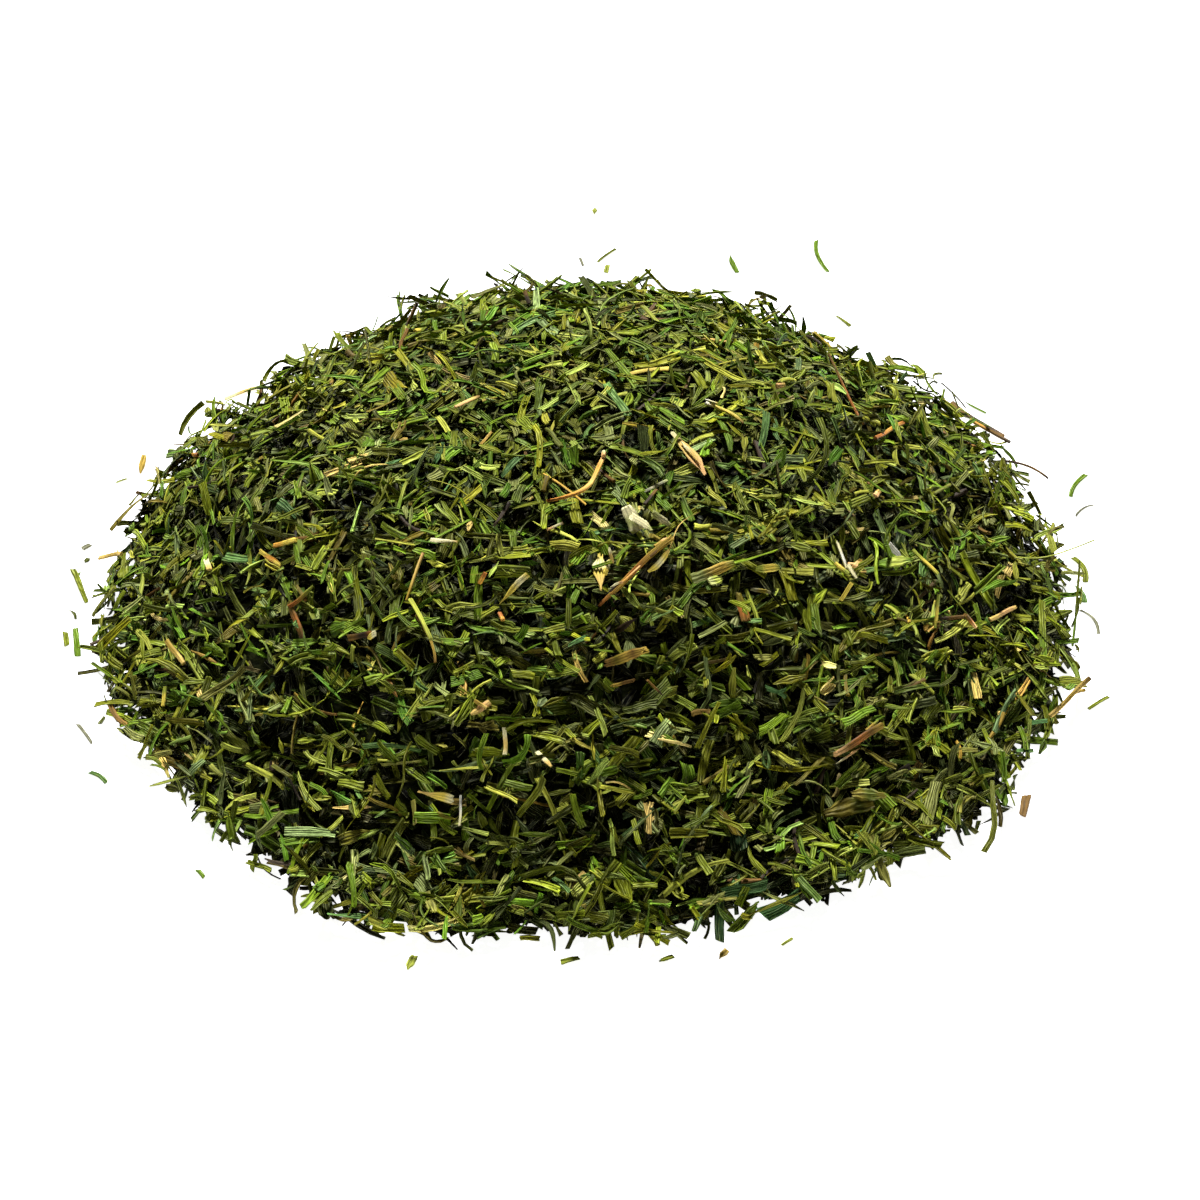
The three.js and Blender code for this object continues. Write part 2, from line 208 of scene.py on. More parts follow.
LOOSE_WIDER = 1.25  # how much wider the strips are than the part's flakes
LOOSE_BENDS = (0.01, 0.01, 0.15)  # bow, arch and twist
TWIG_TURN = 140  # of the twig on the first flake, against the flake
TWIG_SIZE = (1.1, 0.3, 0.15)  # length, width, thickness
TWIG_FROM = 1.6  # where it branches off, from the flake's middle
TWIG_OUT = 0.5  # from there to the twig's middle
LOOSE_FLAKES = [  # x, y, turn, length, width, bow, tint
    (-55.6, 1.2, -70, 6.3, 0.50, 0, "olive"),
    (-55.9, -3.9, -61, 1.8, 0.30, 0.25, "dark"),
    (-54.9, -8.8, -81, 4.8, 0.55, 0, "fresh"),
    (-56.1, -8.2, -79, 2.3, 0.50, 0, "olive"),
    (-55.6, 8.3, 44, 1.1, 0.60, 0, "grey"),
    (-55.3, 5.8, 71, 0.8, 0.50, 0, "dark"),
    (-52.9, 20.9, 33, 1.4, 0.25, 0, "lime"),
    (-50.8, 24.0, 88, 3.5, 0.58, 0, "ochre"),
    (-50.8, -22.0, 70, 1.2, 0.35, 0, "dark"),
    (-52.4, -24.2, -60, 3.6, 0.30, 0, "grey"),
    (-50.3, -31.3, -41, 2.5, 0.48, 0.2, "bluish"),
    (-38.4, -46.2, -57, 1.3, 0.40, 0, "fresh"),
    (-16.7, -59.3, 72, 2.0, 0.68, 0, "lime"),
    (-1.1, -58.9, 19, 1.9, 0.55, 0, "olive"),
    (8.4, -58.7, 29, 1.6, 0.50, 0, "olive"),
    (14.0, -58.1, 59, 1.5, 0.62, 0, "ochre"),
    (20.4, -56.2, 42, 1.5, 0.30, 0, "lime"),
    (54.9, -19.1, 41, 3.1, 0.38, 0, "olive"),
    (55.3, -5.2, -69, 4.4, 0.32, 0.6, "grey"),
    (56.5, 19.9, 63, 4.7, 0.46, 0.3, "fresh"),
    (56.8, 15.2, 43, 3.1, 0.25, 0.3, "grey"),
    (55.1, 4.1, -78, 4.5, 0.55, 0.5, "olive"),
    (54.7, -0.2, -74, 3.2, 0.55, 0.2, "bluish"),
    (45.9, 35.5, -46, 3.4, 0.30, -0.2, "fresh"),
    (1.2, 78.2, 85, 1.4, 0.60, 0, "lime"),
    (2.7, 68.1, 53, 3.7, 0.32, 0, "olive"),
    (-0.4, 66.6, -78, 1.8, 0.28, 0, "grey"),
    (2.7, 65.0, 81, 1.6, 0.50, 0, "lime"),
    (18.4, 66.2, -79, 4.1, 0.56, -0.2, "fresh"),
    (29.4, 67.9, -81, 7.1, 0.44, -0.6, "fresh"),
    (31.3, 53.5, -54, 2.7, 0.36, 0, "olive"),
    (45.6, -35.8, 77, 3.2, 0.70, 0, "brown"),
]


# ---- the dome ----


def rim_radius(angle):
    """The distance from the heap's middle to the edge of its foot, at an angle round from +X."""
    ellipse = 1 / np.hypot(np.cos(angle) / (HEAP_WIDTH / 2), np.sin(angle) / (HEAP_DEPTH / 2))
    reach = 1.0
    for at, wide, by in RIM_LOBES + RIM_NOTCHES:
        aside = (np.degrees(angle) - at + 180) % 360 - 180
        reach = reach + by * np.exp(-((aside / wide) ** 2))
    return ellipse * reach


def dome_share(x, y):
    """0 in the middle of the foot, 1 at its edge."""
    return np.hypot(x, y) / rim_radius(np.arctan2(y, x))


def dome_height(x, y):
    share = np.minimum(dome_share(x, y), 1)
    dome = HEAP_HEIGHT * (1 - share**DOME_POWER) ** RIM_POWER
    clumps = np.sin(x / CLUMP_SPAN + 0.6 * np.sin(y / CLUMP_SPAN))
    clumps = clumps * np.cos(y / CLUMP_SPAN + x / (3 * CLUMP_SPAN))
    dips = sum(
        deep * np.exp(-((x - at_x) ** 2 + (y - at_y) ** 2) / wide**2) for at_x, at_y, wide, deep in HOLLOWS
    )
    return np.maximum(0, dome + (CLUMP_HEIGHT * clumps - dips) * (1 - share**4))


class Pile:
    """A map of the heap's height so far, on which each new flake comes to rest."""

    def __init__(self):
        self.x = np.arange(-GRID_HALF[0], GRID_HALF[0], GRID_STEP)
        self.y = np.arange(-GRID_HALF[1], GRID_HALF[1], GRID_STEP)
        px, py = np.meshgrid(self.x, self.y)
        self.dome = dome_height(px, py)
        share = dome_share(px, py)
        shoulder = SHOULDER_DIP * np.exp(-(((share - SHOULDER[0]) / SHOULDER[1]) ** 2))
        self.even_top = np.maximum(0, self.dome - SINK - shoulder)
        self.full = self.dome - SINK * (1 - share**4) - shoulder + self.roughness(px, py)
        for across, down in DARK_GAPS:
            x, y, _ = seen_at(self, across, down)
            self.full -= GAP_DEPTH * np.exp(-((px - x) ** 2 + (py - y) ** 2) / GAP_RADIUS**2)
        self.target = self.full - DEEP_STOP
        self.top = np.maximum(0, self.dome - BED_DEPTH)
        self.kept_clear = np.zeros(px.shape, bool)
        self.slope_y, self.slope_x = np.gradient(smoothed(self.dome, SLOPE_REACH), GRID_STEP)

    @staticmethod
    def roughness(px, py):
        """Small lumps and dips between the flakes."""
        rough = np.zeros_like(px)
        for span, height in LUMPS:
            a, b, c = rng.uniform(0, 6.3, 3)
            wave = np.sin(px / span + a + np.sin(py / span * 0.7 + b))
            rough += height * wave * np.cos(py / span + c + px / span * 0.4)
        return rough

    def cell(self, x, y):
        column = ((np.asarray(x) + GRID_HALF[0]) / GRID_STEP + 0.5).astype(int)
        row = ((np.asarray(y) + GRID_HALF[1]) / GRID_STEP + 0.5).astype(int)
        return np.clip(row, 0, len(self.y) - 1), np.clip(column, 0, len(self.x) - 1)

    def emptiest(self, share_low, share_high, tries):
        """Of some random places within a ring of the foot, the one furthest below what is to be filled."""
        angle = rng.uniform(-math.pi, math.pi, tries)
        share = np.sqrt(rng.uniform(share_low**2, share_high**2, tries))
        radius = share * rim_radius(angle)
        x, y = radius * np.cos(angle), radius * np.sin(angle)
        at = self.cell(x, y)
        best = np.argmax(self.target[at] - self.top[at] - FULLER * self.kept_clear[at])
        return x[best], y[best]

    def frame_at(self, x, y, turn):
        """Directions along a flake, across it and up from the slope, at a place and a heading."""
        row, column = self.cell(x, y)
        up = np.array([-self.slope_x[row, column], -self.slope_y[row, column], 1.0])
        up /= math.sqrt(up @ up)
        along = np.array([math.cos(turn), math.sin(turn), 0.0])
        along -= (along @ up) * up
        along /= math.sqrt(along @ along)
        return along, np.cross(up, along), up

    def rest(self, x, y, turn, shape, roll, lift, press=NESTING):
        """Where a flake comes to rest when let down over a place: its middle and its three directions."""
        length, width, thick, arch = (shape[k] for k in ("length", "width", "thick", "arch"))
        along, across, up = self.frame_at(x, y, turn)
        u = np.linspace(-0.5, 0.5, 7)[:, None] * length
        v = np.array([[-0.5, 0, 0.5]]) * width
        row, column = self.cell(x + u * along[0] + v * across[0], y + u * along[1] + v * across[1])
        under = self.top[self.cell(x, y)]
        gap = (self.top[row, column] - under - u * along[2] - v * across[2]) * up[2]
        gap -= arch * (1 - (2 * u / length) ** 2)
        lean = np.mean(gap[:, 2] - gap[:, 0]) / width
        lean = math.atan(min(MOST_LEAN, max(-MOST_LEAN, LEAN_TAKEN * lean))) + roll
        need = np.max(gap - v * math.tan(min(MOST_TURN, max(-MOST_TURN, lean))), axis=1)
        u = u[:, 0]
        left, right = need[:3, None], need[None, 4:]
        bridge = left + (right - left) * (-u[:3, None]) / (u[None, 4:] - u[:3, None])
        height = max(need[3], bridge.max())
        low = np.max((need[4:] - height) / u[4:])
        high = np.min((need[:3] - height) / u[:3])
        slope = (low if abs(low) < abs(high) else high) + lift
        slope = min(STEEPEST, max(-STEEPEST, slope))
        height += abs(lift) * length * LIFT_ROOM + thick / 2 - press
        tilt = math.atan(slope)
        ex = along * math.cos(tilt) + up * math.sin(tilt)
        ez = up * math.cos(tilt) - along * math.sin(tilt)
        ey, ez = across * math.cos(lean) + ez * math.sin(lean), ez * math.cos(lean) - across * math.sin(lean)
        return np.array([x, y, under]) + up * height, np.array([ex, ey, ez])

    def cover(self, middle, axes, shape):
        """Raises the map to the top of a flake that lies there, and gives the cells that it covers."""
        length, width = shape["length"], shape["width"]
        t = np.linspace(-0.5, 0.5, max(3, int(length / GRID_STEP) + 2))[:, None]
        s = np.linspace(-0.5, 0.5, max(3, int(width / GRID_STEP) + 2))[None, :]
        hump = 1 - 4 * t * t
        side = s * width + shape["bow"] * hump
        rise = shape["arch"] * hump + shape["thick"] / 2
        at = [middle[k] + axes[0, k] * t * length + axes[1, k] * side + axes[2, k] * rise for k in range(3)]
        row, column = self.cell(at[0], at[1])
        np.maximum.at(self.top, (row.ravel(), column.ravel()), np.broadcast_to(at[2], row.shape).ravel())
        return row, column

    def keep_clear(self, row, column):
        """Asks later flakes to stay off some cells and what is close round them."""
        reach = int(CLEAR_ROUND / GRID_STEP)
        for down in range(-reach, reach + 1, 2):
            for aside in range(-reach, reach + 1, 2):
                self.kept_clear[row + down, column + aside] = True


def smoothed(heights, reach):
    """Heights averaged over a square that reaches some steps to each side."""
    for axis in (0, 1):
        pads = [(reach + 1, reach) if a == axis else (0, 0) for a in (0, 1)]
        total = np.cumsum(np.pad(heights, pads, "edge"), axis)
        low = np.take(total, range(0, heights.shape[axis]), axis)
        high = np.take(total, range(2 * reach + 1, heights.shape[axis] + 2 * reach + 1), axis)
        heights = (high - low) / (2 * reach + 1)
    return heights


# ---- strips as arrays ----

# What shapes a strip. Bow and sway bend it sideways, arch bends it upwards, and slant cuts its ends askew.
# At each end it may narrow to a share of its width, over a span that is a share of its length. Jag tears
# its ends.
FIELDS = "length width thick bow sway arch twist slant groove taper".split()
FIELDS += "narrow_low span_low narrow_high span_high jag".split()
WORN = (0.08, 0.04)  # how much the width varies from station to station: on short strips, and on long ones
LONG_FROM = 9  # stations
GROOVE_DIP = 0.55
TORN = (-0.2, 1)
GRAIN_STARTS = 400  # range of where the grain of a strip starts, so that all differ
MAP_SHARE, MAP_MARGIN = 0.8, 0.1  # of a strip in its cell of the map

# Sections, as [across, rise, dip] in shares of the half width, the thickness and the groove's depth
TWO_RIBS = np.array(
    [
        [-1, 0.25, 0.2],
        [0, -0.5, -0.9],
        [1, 0.25, 0.2],
        [0.5, 0.6, 0],
        [0, 0.05, -1],
        [-0.5, 0.6, 0],
    ]
)
THREE_RIBS = np.array(
    [
        [-1, 0.2, 0.2],
        [0, -0.5, -0.8],
        [1, 0.2, 0.2],
        [0.66, 0.55, 0],
        [0.33, 0.0, -0.6],
        [0, 0.6, -0.6],
        [-0.33, 0.0, -0.6],
        [-0.66, 0.55, 0],
    ]
)
CRUMB = np.array([[-1, 0.0, 0.0], [0.1, -0.7, -0.5], [1, 0.2, 0.0], [0, 0.6, -0.5]])
SHEET = np.array(
    [
        [-1, 0.0, 0.9],
        [-0.4, -0.5, -0.2],
        [0.4, -0.5, -0.3],
        [1, 0.0, 0.8],
        [0.4, 0.5, -0.3],
        [-0.4, 0.5, -0.2],
    ]
)


def ribbed(ribs, below=0.9, crown=0.35, relief=0.3):
    """A section with a rounded underside and some ribs along a crowned top."""
    under = [(math.pi * (1 + k / 4)) for k in range(5)]
    points = [(math.cos(a), math.sin(a) * below * 0.5, 0.0) for a in under]
    for k in range(2 * ribs - 1):
        across = 1 - 2 * (k + 1) / (2 * ribs)
        high = 0.5 * crown + 0.5 * (1 - crown) * math.sqrt(1 - across**2)
        points.append((across, high - relief * 0.5 * (k % 2), -0.5 * (k % 2)))
    return np.array(points)


class Flakes:
    """Strips of one kind: how each is shaped, where it lies, and its tints from one end to the other."""

    def __init__(self, name, stations, section, ribs):
        self.name, self.stations, self.section, self.ribs = name, stations, section, ribs
        self.shape = {field: [] for field in FIELDS}
        self.middle, self.axes, self.tints = [], [], []

    def add(self, shape, middle, axes, tints):
        for field in FIELDS:
            self.shape[field].append(shape[field])
        self.middle.append(middle)
        self.axes.append(axes)
        self.tints.append(tints)

    def __len__(self):
        return len(self.middle)


def spread(middle, sigma, low, high):
    """A size that varies about its middle value by a share, kept between limits."""
    return float(np.clip(middle * math.exp(rng.normal(0, sigma)), low, high))


def strip(length, width, **changes):
    """The shape of a plain, straight strip with some changes."""
    shape = dict.fromkeys(FIELDS, 0.0)
    shape.update(length=length, width=width, thick=0.3 * width, groove=0.5)
    shape.update(narrow_low=1.0, narrow_high=1.0, span_low=0.3, span_high=0.3)
    shape.update(changes)
    return shape


def leaf_shape(length, width, bow=0.028, arch=0.03, twist=0.3):
    """A leaf flake as it is cut: most ends are square or slanting, and some taper to a point."""
    ends = rng.random()
    return strip(
        length,
        width,
        thick=width * rng.uniform(0.18, 0.34),
        bow=rng.normal(0, bow) * length,
        sway=rng.normal(0, bow / 3) * length,
        arch=rng.normal(0.01, arch) * length,
        twist=rng.normal(0, twist) + (rng.random() < 0.12) * rng.normal(0, 1.5),
        slant=rng.normal(0, 0.35),
        groove=rng.uniform(0.1, 1.0) * (1 if rng.random() < 0.6 else -0.6),
        taper=rng.uniform(-0.4, 0.2),
        narrow_low=rng.uniform(0.1, 0.4) if ends < 0.32 else 1.0,
        narrow_high=rng.uniform(0.1, 0.5) if ends < 0.12 else 1.0,
        span_low=rng.uniform(0.3, 0.6),
        span_high=rng.uniform(0.3, 0.5),
    )


def mixed_tint(mix, dark=1.0):
    """Tints along a flake, drawn from a mix, with a brightness and a hue of its own and ends that differ."""
    shares = np.cumsum([share for share, _, _ in mix])
    _, name, vary = mix[int(np.searchsorted(shares, rng.random() * shares[-1]))]
    # below 1, dark is painted shade, as on the deep flakes
    bright = dark * math.exp(rng.normal(0, vary))
    warm = rng.normal(0, HUE_SPREAD)
    warm = min(warm, MOST_WARM) if name in ("brown", "umber", "ochre") else warm
    colour = np.array(TINTS[name]) * bright * np.array([1 + warm, 1.0, 1 - 1.5 * warm])
    low, high = np.exp(rng.normal(0, END_SPREAD, 2))
    return np.clip(np.array([colour * low, colour, colour, colour, colour * high]), *TINT_LIMITS)


def named_tints(names):
    """Tints along a strand from one to five names."""
    names = names.split()
    return np.array([TINTS[names[k * len(names) // 5]] for k in range(5)])


def eased(share):
    share = np.clip(share, 0, 1)
    return share * share * (3 - 2 * share)


def strip_points(flakes):
    """The points of all strips, by strip, station, point of the section and axis, and their grain."""
    field = {name: np.array(values)[:, None, None] for name, values in flakes.shape.items()}
    count, stations = len(flakes), flakes.stations
    t = np.linspace(-0.5, 0.5, stations)[None, :, None]
    across, rise, dip = (flakes.section[:, k][None, None, :] for k in range(3))
    low_end = field["narrow_low"] + (1 - field["narrow_low"]) * eased((t + 0.5) / field["span_low"])
    high_end = field["narrow_high"] + (1 - field["narrow_high"]) * eased((0.5 - t) / field["span_high"])
    worn = 1 + rng.normal(0, WORN[stations >= LONG_FROM], (count, stations, 1))
    narrow = low_end * high_end
    half = field["width"] / 2 * (1 + field["taper"] * t) * narrow * worn
    depth = field["thick"] * rise * np.sqrt(narrow) + dip * field["groove"] * half * GROOVE_DIP
    torn = field["jag"] * rng.uniform(*TORN, (count, stations, len(flakes.section)))
    hump = 1 - 4 * t * t
    side = across * half
    x = field["length"] * t + (field["slant"] * side * np.sign(t) + torn * np.sign(t)) * (np.abs(t) > 0.49)
    turned = field["twist"] * t
    bend = field["bow"] * hump + field["sway"] * np.sin(2 * math.pi * t)
    y = side * np.cos(turned) - depth * np.sin(turned) + bend
    z = side * np.sin(turned) + depth * np.cos(turned) + field["arch"] * hump
    local = np.stack(np.broadcast_arrays(x, y, z), -1)
    turned = np.einsum("fskc,fcd->fskd", local, np.array(flakes.axes))
    points = np.array(flakes.middle)[:, None, None, :] + turned
    under_table = np.maximum(0, -points[..., 2].min(axis=(1, 2), keepdims=True))
    points[..., 2] += under_table
    lengthwise = field["length"] * t + rng.uniform(0, GRAIN_STARTS, (count, 1, 1))
    ribs = flakes.ribs * (across + 1) + 1
    grain = np.stack(np.broadcast_arrays(lengthwise, ribs, rng.uniform(0, GRAIN_STARTS, (count, 1, 1))), -1)
    return points, grain


def strip_tints(flakes):
    """The tint at each point of all strips of a kind."""
    tints = np.array(flakes.tints)
    place = np.linspace(0, tints.shape[1] - 1, flakes.stations)
    before = np.minimum(place.astype(int), tints.shape[1] - 2)
    share = (place - before)[None, :, None]
    colour = tints[:, before] * (1 - share) + tints[:, before + 1] * share
    return np.repeat(colour[:, :, None, :], len(flakes.section), axis=2)


def strip_faces(stations, around):
    """Quads along a strip and a face at each end, as point numbers, and their places in the strip's map."""
    faces, places = [], []
    for i in range(stations - 1):
        for k in range(around):
            j = (k + 1) % around
            faces.append((i * around + k, i * around + j, (i + 1) * around + j, (i + 1) * around + k))
            low, high = i / (stations - 1), (i + 1) / (stations - 1)
            left, right = k / around, (k + 1) / around
            places.append([(low, left), (low, right), (high, right), (high, left)])
    last = (stations - 1) * around
    faces.append(tuple(reversed(range(around))))
    faces.append(tuple(last + k for k in range(around)))
    for edge in (0.0, 1.0):
        places.append([(edge, k / around) for k in range(around)])
    return faces, places


def add_faces(mesh, points, faces):
    """The points and faces of all strips, each with the same faces."""
    count, each = len(points), points.shape[1] * points.shape[2]
    mesh.vertices.add(count * each)
    mesh.vertices.foreach_set("co", (points * MM).astype(np.float32).ravel())
    corners = np.array([corner for face in faces for corner in face])
    loops = (corners[None, :] + each * np.arange(count)[:, None]).ravel()
    mesh.loops.add(len(loops))
    mesh.loops.foreach_set("vertex_index", loops.astype(np.int32))
    sizes = np.tile([len(face) for face in faces], count)
    starts = np.concatenate([[0], np.cumsum(sizes)[:-1]])
    mesh.polygons.add(len(sizes))
    mesh.polygons.foreach_set("loop_start", starts.astype(np.int32))
    mesh.update(calc_edges=True)


def add_map(mesh, count, places):
    """A map with a square cell for each strip."""
    cells = math.ceil(math.sqrt(count))
    spot = np.array([place for face in places for place in face]) * MAP_SHARE + MAP_MARGIN
    cell = np.stack([np.arange(count) % cells, np.arange(count) // cells], -1)
    unwrap = mesh.uv_layers.new(name="OFBake")
    unwrap.data.foreach_set("uv", ((cell[:, None, :] + spot[None]) / cells).astype(np.float32).ravel())


def add_attribute(mesh, name, kind, domain, field, values):
    mesh.attributes.new(name, kind, domain).data.foreach_set(field, values.ravel())


def add_creases(mesh, flakes, around):
    """Sharp edges along the sides of the strips and round their ends."""
    ends = np.zeros(len(mesh.edges) * 2, np.int32)
    mesh.edges.foreach_get("vertices", ends)
    station, k = np.divmod(ends.reshape(-1, 2) % (flakes.stations * around), around)
    lengthwise = k[:, 0] == k[:, 1]
    at_end = ~lengthwise & ((station[:, 0] == 0) | (station[:, 0] == flakes.stations - 1))
    creased = np.abs(flakes.section[:, 0]) == 1
    sharp = (lengthwise & creased[k[:, 0]]) | at_end
    add_attribute(mesh, "sharp_edge", "BOOLEAN", "EDGE", "value", sharp)


def mesh_of(flakes):
    """One mesh of all strips of a kind, with the grain and the tint at each point."""
    points, grain = strip_points(flakes)
    count, stations, around, _ = points.shape
    faces, places = strip_faces(stations, around)
    mesh = bpy.data.meshes.new(flakes.name)
    add_faces(mesh, points, faces)
    add_map(mesh, count, places)
    add_creases(mesh, flakes, around)
    add_attribute(mesh, "grain", "FLOAT_VECTOR", "POINT", "vector", grain.astype(np.float32))
    colour = np.ones((count, stations, around, 4), np.float32)
    colour[..., :3] = strip_tints(flakes)
    add_attribute(mesh, "tint", "FLOAT_COLOR", "POINT", "color", colour)
    return mesh


def linked(name, data):
    """An object in the scene for a mesh, a light or a camera."""
    made = bpy.data.objects.new(name, data)
    bpy.context.scene.collection.objects.link(made)
    return made


def placed(mesh, material, node):
    """Puts a mesh on the part as an object that stands for a node."""
    mesh.materials.append(material)
    piece = linked(mesh.name, mesh)
    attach(piece, "root")
    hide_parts(node)


# ---- finishes ----


class Value:
    """A socket that can be used in sums: each operation adds its Math node."""

    def __init__(self, finish, socket):
        self.finish, self.socket = finish, socket

    def _math(self, operation, *values):
        return self.finish.node("Math", {"operation": operation}, dict(enumerate(values)))

    def __add__(self, other):
        return self._math("ADD", self, other)

    __radd__ = __add__

    def __sub__(self, other):
        return self._math("SUBTRACT", self, other)

    def __rsub__(self, other):
        return self._math("SUBTRACT", other, self)

    def __mul__(self, other):
        return self._math("MULTIPLY", self, other)

    __rmul__ = __mul__

    def cosine(self):
        return self._math("COSINE", self)

    def ramp(self, low, high, out_low=0.0, out_high=1.0):
        ends = {"From Min": low, "From Max": high, "To Min": out_low, "To Max": out_high}
        return self.finish.node("MapRange", {"interpolation_type": "SMOOTHSTEP"}, {"Value": self, **ends})


class Finish:
    """A material, with what its pattern is worked out from."""

    def __init__(self, name, **constants):
        self.material = bpy.data.materials.new(name)
        self.material.use_nodes = True
        self.tree = self.material.node_tree
        self.shader = self.tree.nodes["Principled BSDF"]
        self.shade(**constants)

    def node(self, kind, settings, inputs, output=0):
        """A node: its settings come first, and then its sockets take values or links, by name or number."""
        made = self.tree.nodes.new("ShaderNode" + kind)
        for key, value in settings.items():
            setattr(made, key, value)
        for key, value in inputs.items():
            self.give(made.inputs[key], value)
        return Value(self, made.outputs[output])

    def give(self, socket, value):
        if isinstance(value, Value):
            self.tree.links.new(value.socket, socket)
        else:
            socket.default_value = value

    def attribute(self, name, output):
        return self.node("Attribute", {"attribute_name": name}, {}, output)

    def scaled(self, vector, scale):
        return self.node("VectorMath", {"operation": "MULTIPLY"}, {0: vector, 1: scale})

    def lit(self, colour, light):
        """A colour made brighter or darker."""
        return self.node("VectorMath", {"operation": "SCALE"}, {0: colour, "Scale": light})

    def noise(self, vector, scale, detail=2.0, roughness=0.5):
        values = {"Vector": vector, "Scale": scale, "Detail": detail, "Roughness": roughness}
        return self.node("TexNoise", {}, values)

    def mixed(self, share, first, second):
        return self.node("Mix", {"data_type": "RGBA"}, {0: share, 6: first, 7: second}, 2)

    def shade(self, **named):
        for key, value in named.items():
            self.give(self.shader.inputs[key.replace("_", " ")], value)

    def bump(self, height, strength, distance):
        values = {"Strength": strength, "Distance": distance, "Height": height}
        self.shade(Normal=self.node("Bump", {}, values))

    def ribs(self, grain, wander):
        """Light ribs and dark grooves along a flake: 1 on a rib and -1 in a groove."""
        count = self.node("SeparateXYZ", {}, {0: grain}, 1)
        drift = self.noise(self.scaled(grain, (0.45, 0.4, 1.0)), 1.0, 1.0)
        return (count * math.pi + drift * wander - 0.5 * wander).cosine()


def dry_leaf():
    """Dried leaf: light ribs with near-black grooves, partly its veins and partly painted light and shade of
    its ridges and grooves, a painted highlight on the brightest ribs, fine fibres, and dusty, yellowed
    patches.
    """
    f = Finish("dry_leaf", Roughness=0.6, Specular_IOR_Level=0.08)
    tint = f.attribute("tint", "Color")
    grain = f.attribute("grain", "Vector")
    ribs = f.ribs(grain, 8.0)
    depth = f.noise(f.scaled(grain, (0.5, 0.15, 1.0)), 0.8, 1.0).ramp(0.35, 0.65, 0.08, 0.55)
    fibres = f.noise(f.scaled(grain, (0.8, 1.5, 1.0)), 1.0, 2.0)
    mottle = f.noise(f.scaled(grain, (1.0, 0.3, 1.0)), 1.3, 3.0, 0.6)
    # lighter ribs and darker grooves: partly the leaf's veins, partly painted light and shade of its ridges
    # and grooves
    light = (ribs * depth + 1.0) * fibres.ramp(0.3, 0.7, 0.62, 1.45) * mottle.ramp(0.3, 0.7, 1.15, 0.85)
    body = f.lit(tint, light)
    body = f.mixed(mottle.ramp(0.58, 0.78) * 0.4, body, (0.33, 0.31, 0.05, 1.0))
    # a pale mix on the brightest ribs: painted highlight
    body = f.mixed(light.ramp(1.15, 2.1) * 0.3, body, (0.62, 0.62, 0.36, 1.0))
    f.shade(Base_Color=body, Roughness=mottle.ramp(0.3, 0.7, 0.5, 0.72))
    f.bump(ribs * 0.5 + fibres, 0.9, 0.0001)
    return f.material


def dry_stalk():
    """Dried stem: pale fibres along a tan or yellow skin, with darker stretches and grooves."""
    f = Finish("dry_stalk", Roughness=0.5, Specular_IOR_Level=0.1)
    tint = f.attribute("tint", "Color")
    grain = f.attribute("grain", "Vector")
    ribs = f.ribs(grain, 2.0)
    fibres = f.noise(f.scaled(grain, (0.3, 6.0, 1.0)), 1.0, 2.0)
    stains = f.noise(f.scaled(grain, (0.9, 0.8, 1.0)), 1.0, 3.0)
    light = fibres.ramp(0.3, 0.7, 0.8, 1.22) * stains.ramp(0.35, 0.65, 0.8, 1.12)
    light = light * ribs.ramp(-0.9, 0.6, 0.68, 1.1)
    f.shade(Base_Color=f.lit(tint, light), Roughness=fibres.ramp(0.3, 0.7, 0.42, 0.62))
    f.bump(fibres, 0.5, 0.00009)
    return f.material


def dry_paper():
    """Papery skin of a sheath or bract: thin veins along it, a mealy surface and small brown specks."""
    f = Finish("dry_paper", Roughness=0.7, Specular_IOR_Level=0.2)
    tint = f.attribute("tint", "Color")
    grain = f.attribute("grain", "Vector")
    ribs = f.ribs(grain, 2.5)
    meal = f.noise(grain, 4.5, 3.0, 0.65)
    specks = f.noise(f.scaled(grain, (1.0, 1.6, 1.0)), 2.6, 1.0).ramp(0.66, 0.72)
    body = f.lit(tint, ribs.ramp(-0.9, 0.4, 0.7, 1.06) * meal.ramp(0.3, 0.7, 0.78, 1.14))
    body = f.mixed(specks * 0.7, body, (0.22, 0.10, 0.035, 1.0))
    f.shade(Base_Color=body, Roughness=meal.ramp(0.3, 0.7, 0.6, 0.8))
    f.bump(meal, 0.6, 0.0001)
    return f.material


def core_painted_shade():
    """The heap's inside, in near-black: painted shade for the deepest gaps."""
    f = Finish("core_painted_shade", Roughness=0.9, Specular_IOR_Level=0.05)
    shade_noise = f.noise(f.node("TexCoord", {}, {}, "Object"), 900.0, 3.0, 0.6)
    f.shade(Base_Color=f.mixed(shade_noise.ramp(0.35, 0.7), (0.003, 0.004, 0.001, 1), (0.020, 0.024, 0.005, 1)))
    f.bump(shade_noise, 0.8, 0.0006)
    return f.material


LEAF = dry_leaf()
STALK_SKIN = dry_stalk()
PAPER = dry_paper()
CORE_SHADE_FINISH = core_painted_shade()

# The slot and the finish of a kind of flake or scrap
GREEN_LEAF = ("leaf_green", LEAF)
OLIVE_LEAF = ("leaf_olive", LEAF)
# the core's near-black finish is painted shade
DARK_CORE = ("leaf_green", CORE_SHADE_FINISH)
STRAW = ("straw", STALK_SKIN)
BROWN_STEM = ("stem_brown", STALK_SKIN)
PAPERY = ("papery_straw", PAPER)
STRIPED = ("papery_straw", STALK_SKIN)

# ---- filling the heap ----

